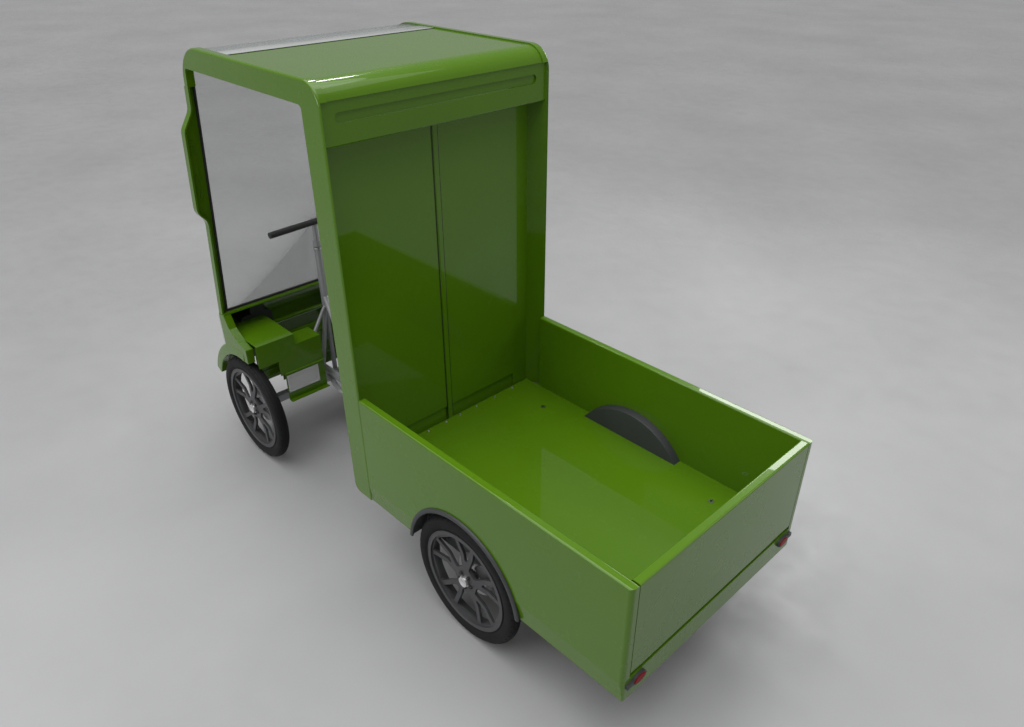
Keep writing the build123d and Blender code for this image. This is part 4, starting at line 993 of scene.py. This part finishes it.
# %% Saddle stuffing
SADDLE_SWELL = 0.006
SADDLE_PRESSURE = 4.0
CLOTH_FRAMES, CLOTH_QUALITY = 20, 5
start = [vertex.co.copy() for vertex in pad.data.vertices]
cloth = pad.modifiers.new("stuffing", "CLOTH")
cloth.settings.use_pressure = True
cloth.settings.uniform_pressure_force = SADDLE_PRESSURE
cloth.settings.effector_weights.gravity = 0.0
cloth.settings.quality = CLOTH_QUALITY
cloth.point_cache.frame_start, cloth.point_cache.frame_end = 1, CLOTH_FRAMES
for step in range(1, CLOTH_FRAMES + 1):
    bpy.context.scene.frame_set(step)
bpy.ops.object.modifier_apply(modifier=cloth.name)
for vertex, old in zip(pad.data.vertices, start):
    shift = vertex.co - old
    if shift.length > SADDLE_SWELL:
        shift = shift.normalized() * SADDLE_SWELL
    vertex.co = old + shift
bpy.context.scene.frame_set(1)
print("saddle top", round(max(vertex.co.z for vertex in pad.data.vertices), 4))

# %% Saddle foot and welt
SADDLE_LIFT = 0.0004
WELT_LOW, WELT_HIGH, WELT_OUT = 0.008, 0.013, 0.0016
WELT_STEEP = 0.6
for vertex in pad.data.vertices:
    vertex.co.z = max(vertex.co.z, saddle_low.z + SADDLE_LIFT)
smooth = pad.modifiers.new("smooth", "SUBSURF")
smooth.levels = smooth.render_levels = 1
activate(pad)
bpy.ops.object.modifier_apply(modifier=smooth.name)


def welt(middle, normal):
    return WELT_LOW < middle.z - saddle_low.z < WELT_HIGH and abs(normal.z) < WELT_STEEP


edit(pad)
choose(pad, welt)
bpy.ops.transform.shrink_fatten(value=WELT_OUT)
leave()
settle(pad, "chassis", "saddle_cover")
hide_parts("saddle")

# %% [markdown]
# ## Handlebar and steering details
# The long grips have raised rings, the head tube a cup at each end and the clamp its bolts. A bump
# map could hint at the rings, but they show in the outline. So one ring is modelled, set along the
# left grip and mirrored to the right one.

# %% Grip rings
BAR_HEIGHT = 1.160
BAR_BEND = Vector((0.822, 0.030, BAR_HEIGHT))
BAR_TIP = Vector((0.802, 0.323, BAR_HEIGHT))
GRIP_RADIUS, GRIP_BEAD, GRIP_STRETCH = 0.0132, 0.0012, 1.7
GRIP_RINGS, GRIP_START, GRIP_PITCH = 12, 0.012, 0.0095
outward = (BAR_TIP - BAR_BEND).normalized()
deselect()
bpy.ops.mesh.primitive_torus_add(major_segments=40, minor_segments=8, major_radius=GRIP_RADIUS,
                                 minor_radius=GRIP_BEAD)
ring = bpy.context.object
edit(ring)
take_all()
bpy.ops.transform.resize(value=(1, 1, GRIP_STRETCH), center_override=(0, 0, 0))
leave()
rings = copies(ring, [towards(BAR_TIP - outward * (GRIP_START + GRIP_PITCH * count), outward)
                      for count in range(GRIP_RINGS)])
left_rings = join("left_grip_rings", rings)
right_rings = join("right_grip_rings", [twin(left_rings, "copy", FLIP)])
for made in (left_rings, right_rings):
    settle(made, "steering", "grip_rubber")

# %% Head cups and clamp bolts
COLUMN_X = 1.004
CUP_HEIGHTS = (0.6455, 0.9545)
CUP_RADIUS, CUP_DEPTH, CUP_WALL, CUP_ROUND = 0.0212, 0.009, 0.0034, 0.0009
CLAMP_REACH, CLAMP_SIDES, CLAMP_BOLT = 0.0178, (-0.008, 0.008), 0.0034
cup = tube(48, CUP_RADIUS, CUP_DEPTH, CUP_WALL)
face_out()
soften(CUP_ROUND)
leave()
cups = copies(cup, [Matrix.Translation((COLUMN_X, 0, z)) for z in CUP_HEIGHTS])
settle(join("head_cups", cups), "chassis", "hub_steel")
spots = [((BAR_BEND.x - CLAMP_REACH, y, BAR_HEIGHT), (-1, 0, 0)) for y in CLAMP_SIDES]
bolts("clamp_bolts", spots, CLAMP_BOLT, SMALL_TALL, "steering", "hub_steel")

# %% [markdown]
# ## Pedals, drive and battery
# The pedals carry rubber tread pads. The drive unit is finned for cooling and its cover is bolted on,
# and the battery case has stiffening ribs. Array modifiers could repeat them. Here one pad, fin or
# rib is modelled and copied to a list of places, so that each row can be read off and changed.

# %% Pedal treads
PEDALS = (("left", 0.35, 1), ("right", 0.65, -1))
PEDAL_SIDE, PEDAL_HEIGHT, PEDAL_HALF = 0.168, 0.405, 0.011
TREAD_ROWS = (-0.031, -0.018, 0.018, 0.031)
TREAD_HALF, TREAD_REACH, TREAD_TALL, TREAD_ROUND = 0.0045, 0.036, 0.0026, 0.0009
TREAD_LEVELS = (PEDAL_HEIGHT + PEDAL_HALF, PEDAL_HEIGHT - PEDAL_HALF - TREAD_TALL)
for side, x, sign in PEDALS:
    tread = bar((-TREAD_HALF, -TREAD_REACH, 0), (TREAD_HALF, TREAD_REACH, TREAD_TALL), TREAD_ROUND)
    pads = copies(tread, [Matrix.Translation((x + row, sign * PEDAL_SIDE, z))
                          for z in TREAD_LEVELS for row in TREAD_ROWS])
    settle(join(f"{side}_pedal_tread", pads), f"{side}_foot_pedal", "grip_rubber")

# %% Drive fins and cover bolts
FIN_ROWS, FIN_START, FIN_PITCH = 7, 0.222, 0.018
FIN_FACES = (-0.7125, -0.518)
FIN_REACH, FIN_THICK, FIN_ROUND = 0.046, 0.0045, 0.0007
COVER_FACE, COVER_HEIGHT, COVER_CIRCLE, COVER_BOLTS = 0.054, 0.272, 0.058, 8
fin = bar((0, -FIN_REACH, 0), (FIN_THICK, FIN_REACH, FIN_THICK), FIN_ROUND)
fins = copies(fin, [Matrix.Translation((x, 0, FIN_START + FIN_PITCH * count))
                    for count in range(FIN_ROWS) for x in FIN_FACES])
settle(join("drive_fins", fins), "chassis", "drive_alloy")
spots = []
for side, sign in SIDES:
    spots += bolt_circle((REAR_AXLE, sign * COVER_FACE, COVER_HEIGHT), COVER_CIRCLE, COVER_BOLTS, sign)
bolts("drive_cover_bolts", spots, SMALL_BOLT, SMALL_TALL, "chassis", "bright_steel")

# %% Battery ribs
RIB_COUNT, RIB_START, RIB_PITCH = 9, -0.24, 0.033
RIB_SIDE, RIB_HALF, RIB_WIDE, RIB_ROUND = 0.05725, 0.00125, 0.006, 0.0008
RIB_LOW, RIB_HIGH = 0.262, 0.376
rib = bar((0, -RIB_HALF, RIB_LOW), (RIB_WIDE, RIB_HALF, RIB_HIGH), RIB_ROUND)
ribs = copies(rib, [Matrix.Translation((RIB_START + RIB_PITCH * count, sign * RIB_SIDE, 0))
                    for count in range(RIB_COUNT) for side, sign in SIDES])
settle(join("battery_ribs", ribs), "chassis", "dark_plastic")

# %% [markdown]
# ## Lamps
# Behind each clear lens sit two bright reflector bowls with a small lamp in each. Half a sphere would
# be too deep for the flat housing. So a bowl is a disc whose face is inset and pushed in step by
# step. A ray cast at the housing finds where it sits.

# %% Headlamp bowls
LAMP_HEIGHT = 0.617
LAMP_SIDES = (0.277, 0.341)
RAY_START, BOWL_PROUD = 1.6, 0.001
BOWL_RADIUS, BOWL_DEPTH, BOWL_LIP = 0.026, 0.010, 0.002
BULB_TALL, BULB_ROUND = 0.004, 0.001
BOWL_STEPS = (
    # push, inset
    (-0.003, 0.004), (-0.0025, 0.006), (-0.0012, 0.006),
)
bowl = disc(40, BOWL_RADIUS, BOWL_DEPTH)
edit(bowl)
choose(bowl, top)
bpy.ops.mesh.inset(thickness=BOWL_LIP)
for depth, wall in BOWL_STEPS:
    push(depth)
    bpy.ops.mesh.inset(thickness=wall)
push(BULB_TALL)
soften(BULB_ROUND)
leave()
for side, sign in SIDES:
    bowls = []
    for y in LAMP_SIDES:
        ahead = Vector((RAY_START, sign * y, LAMP_HEIGHT))
        hit, spot, normal, index = nodes[f"{side}_headlamp"].ray_cast(ahead, Vector((-1, 0, 0)))
        bowls.append(twin(bowl, "bowl", towards(spot + Vector((BOWL_PROUD, 0, 0)), (1, 0, 0))))
    settle(join(f"{side}_lamp_bowls", bowls), "chassis", "chrome")
bpy.data.objects.remove(bowl)

# %% [markdown]
# ## Frame tube plugs
# Black plastic plugs close the open ends of the two main tubes. A bare disc would look cut from
# card, so its face is inset and raised to a small crown.

# %% Plugs
TUBE_ENDS = (
    # end of the tube, direction
    (-1.290, -1), (0.985, 1),
)
TUBE_SIDES, TUBE_HEIGHT = (-0.08, 0.08), 0.330
PLUG_RADIUS, PLUG_DEPTH, PLUG_GAP = 0.0165, 0.003, 0.0016
PLUG_EDGE, PLUG_CROWN, PLUG_ROUND = 0.003, 0.0012, 0.0005
plug = disc(32, PLUG_RADIUS, PLUG_DEPTH)
edit(plug)
choose(plug, top)
carve(PLUG_EDGE, PLUG_CROWN)
soften(PLUG_ROUND)
leave()
plugs = copies(plug, [towards((x + way * PLUG_GAP, y, TUBE_HEIGHT), (way, 0, 0))
                      for x, way in TUBE_ENDS for y in TUBE_SIDES])
settle(join("tube_plugs", plugs), "chassis", "dark_plastic")
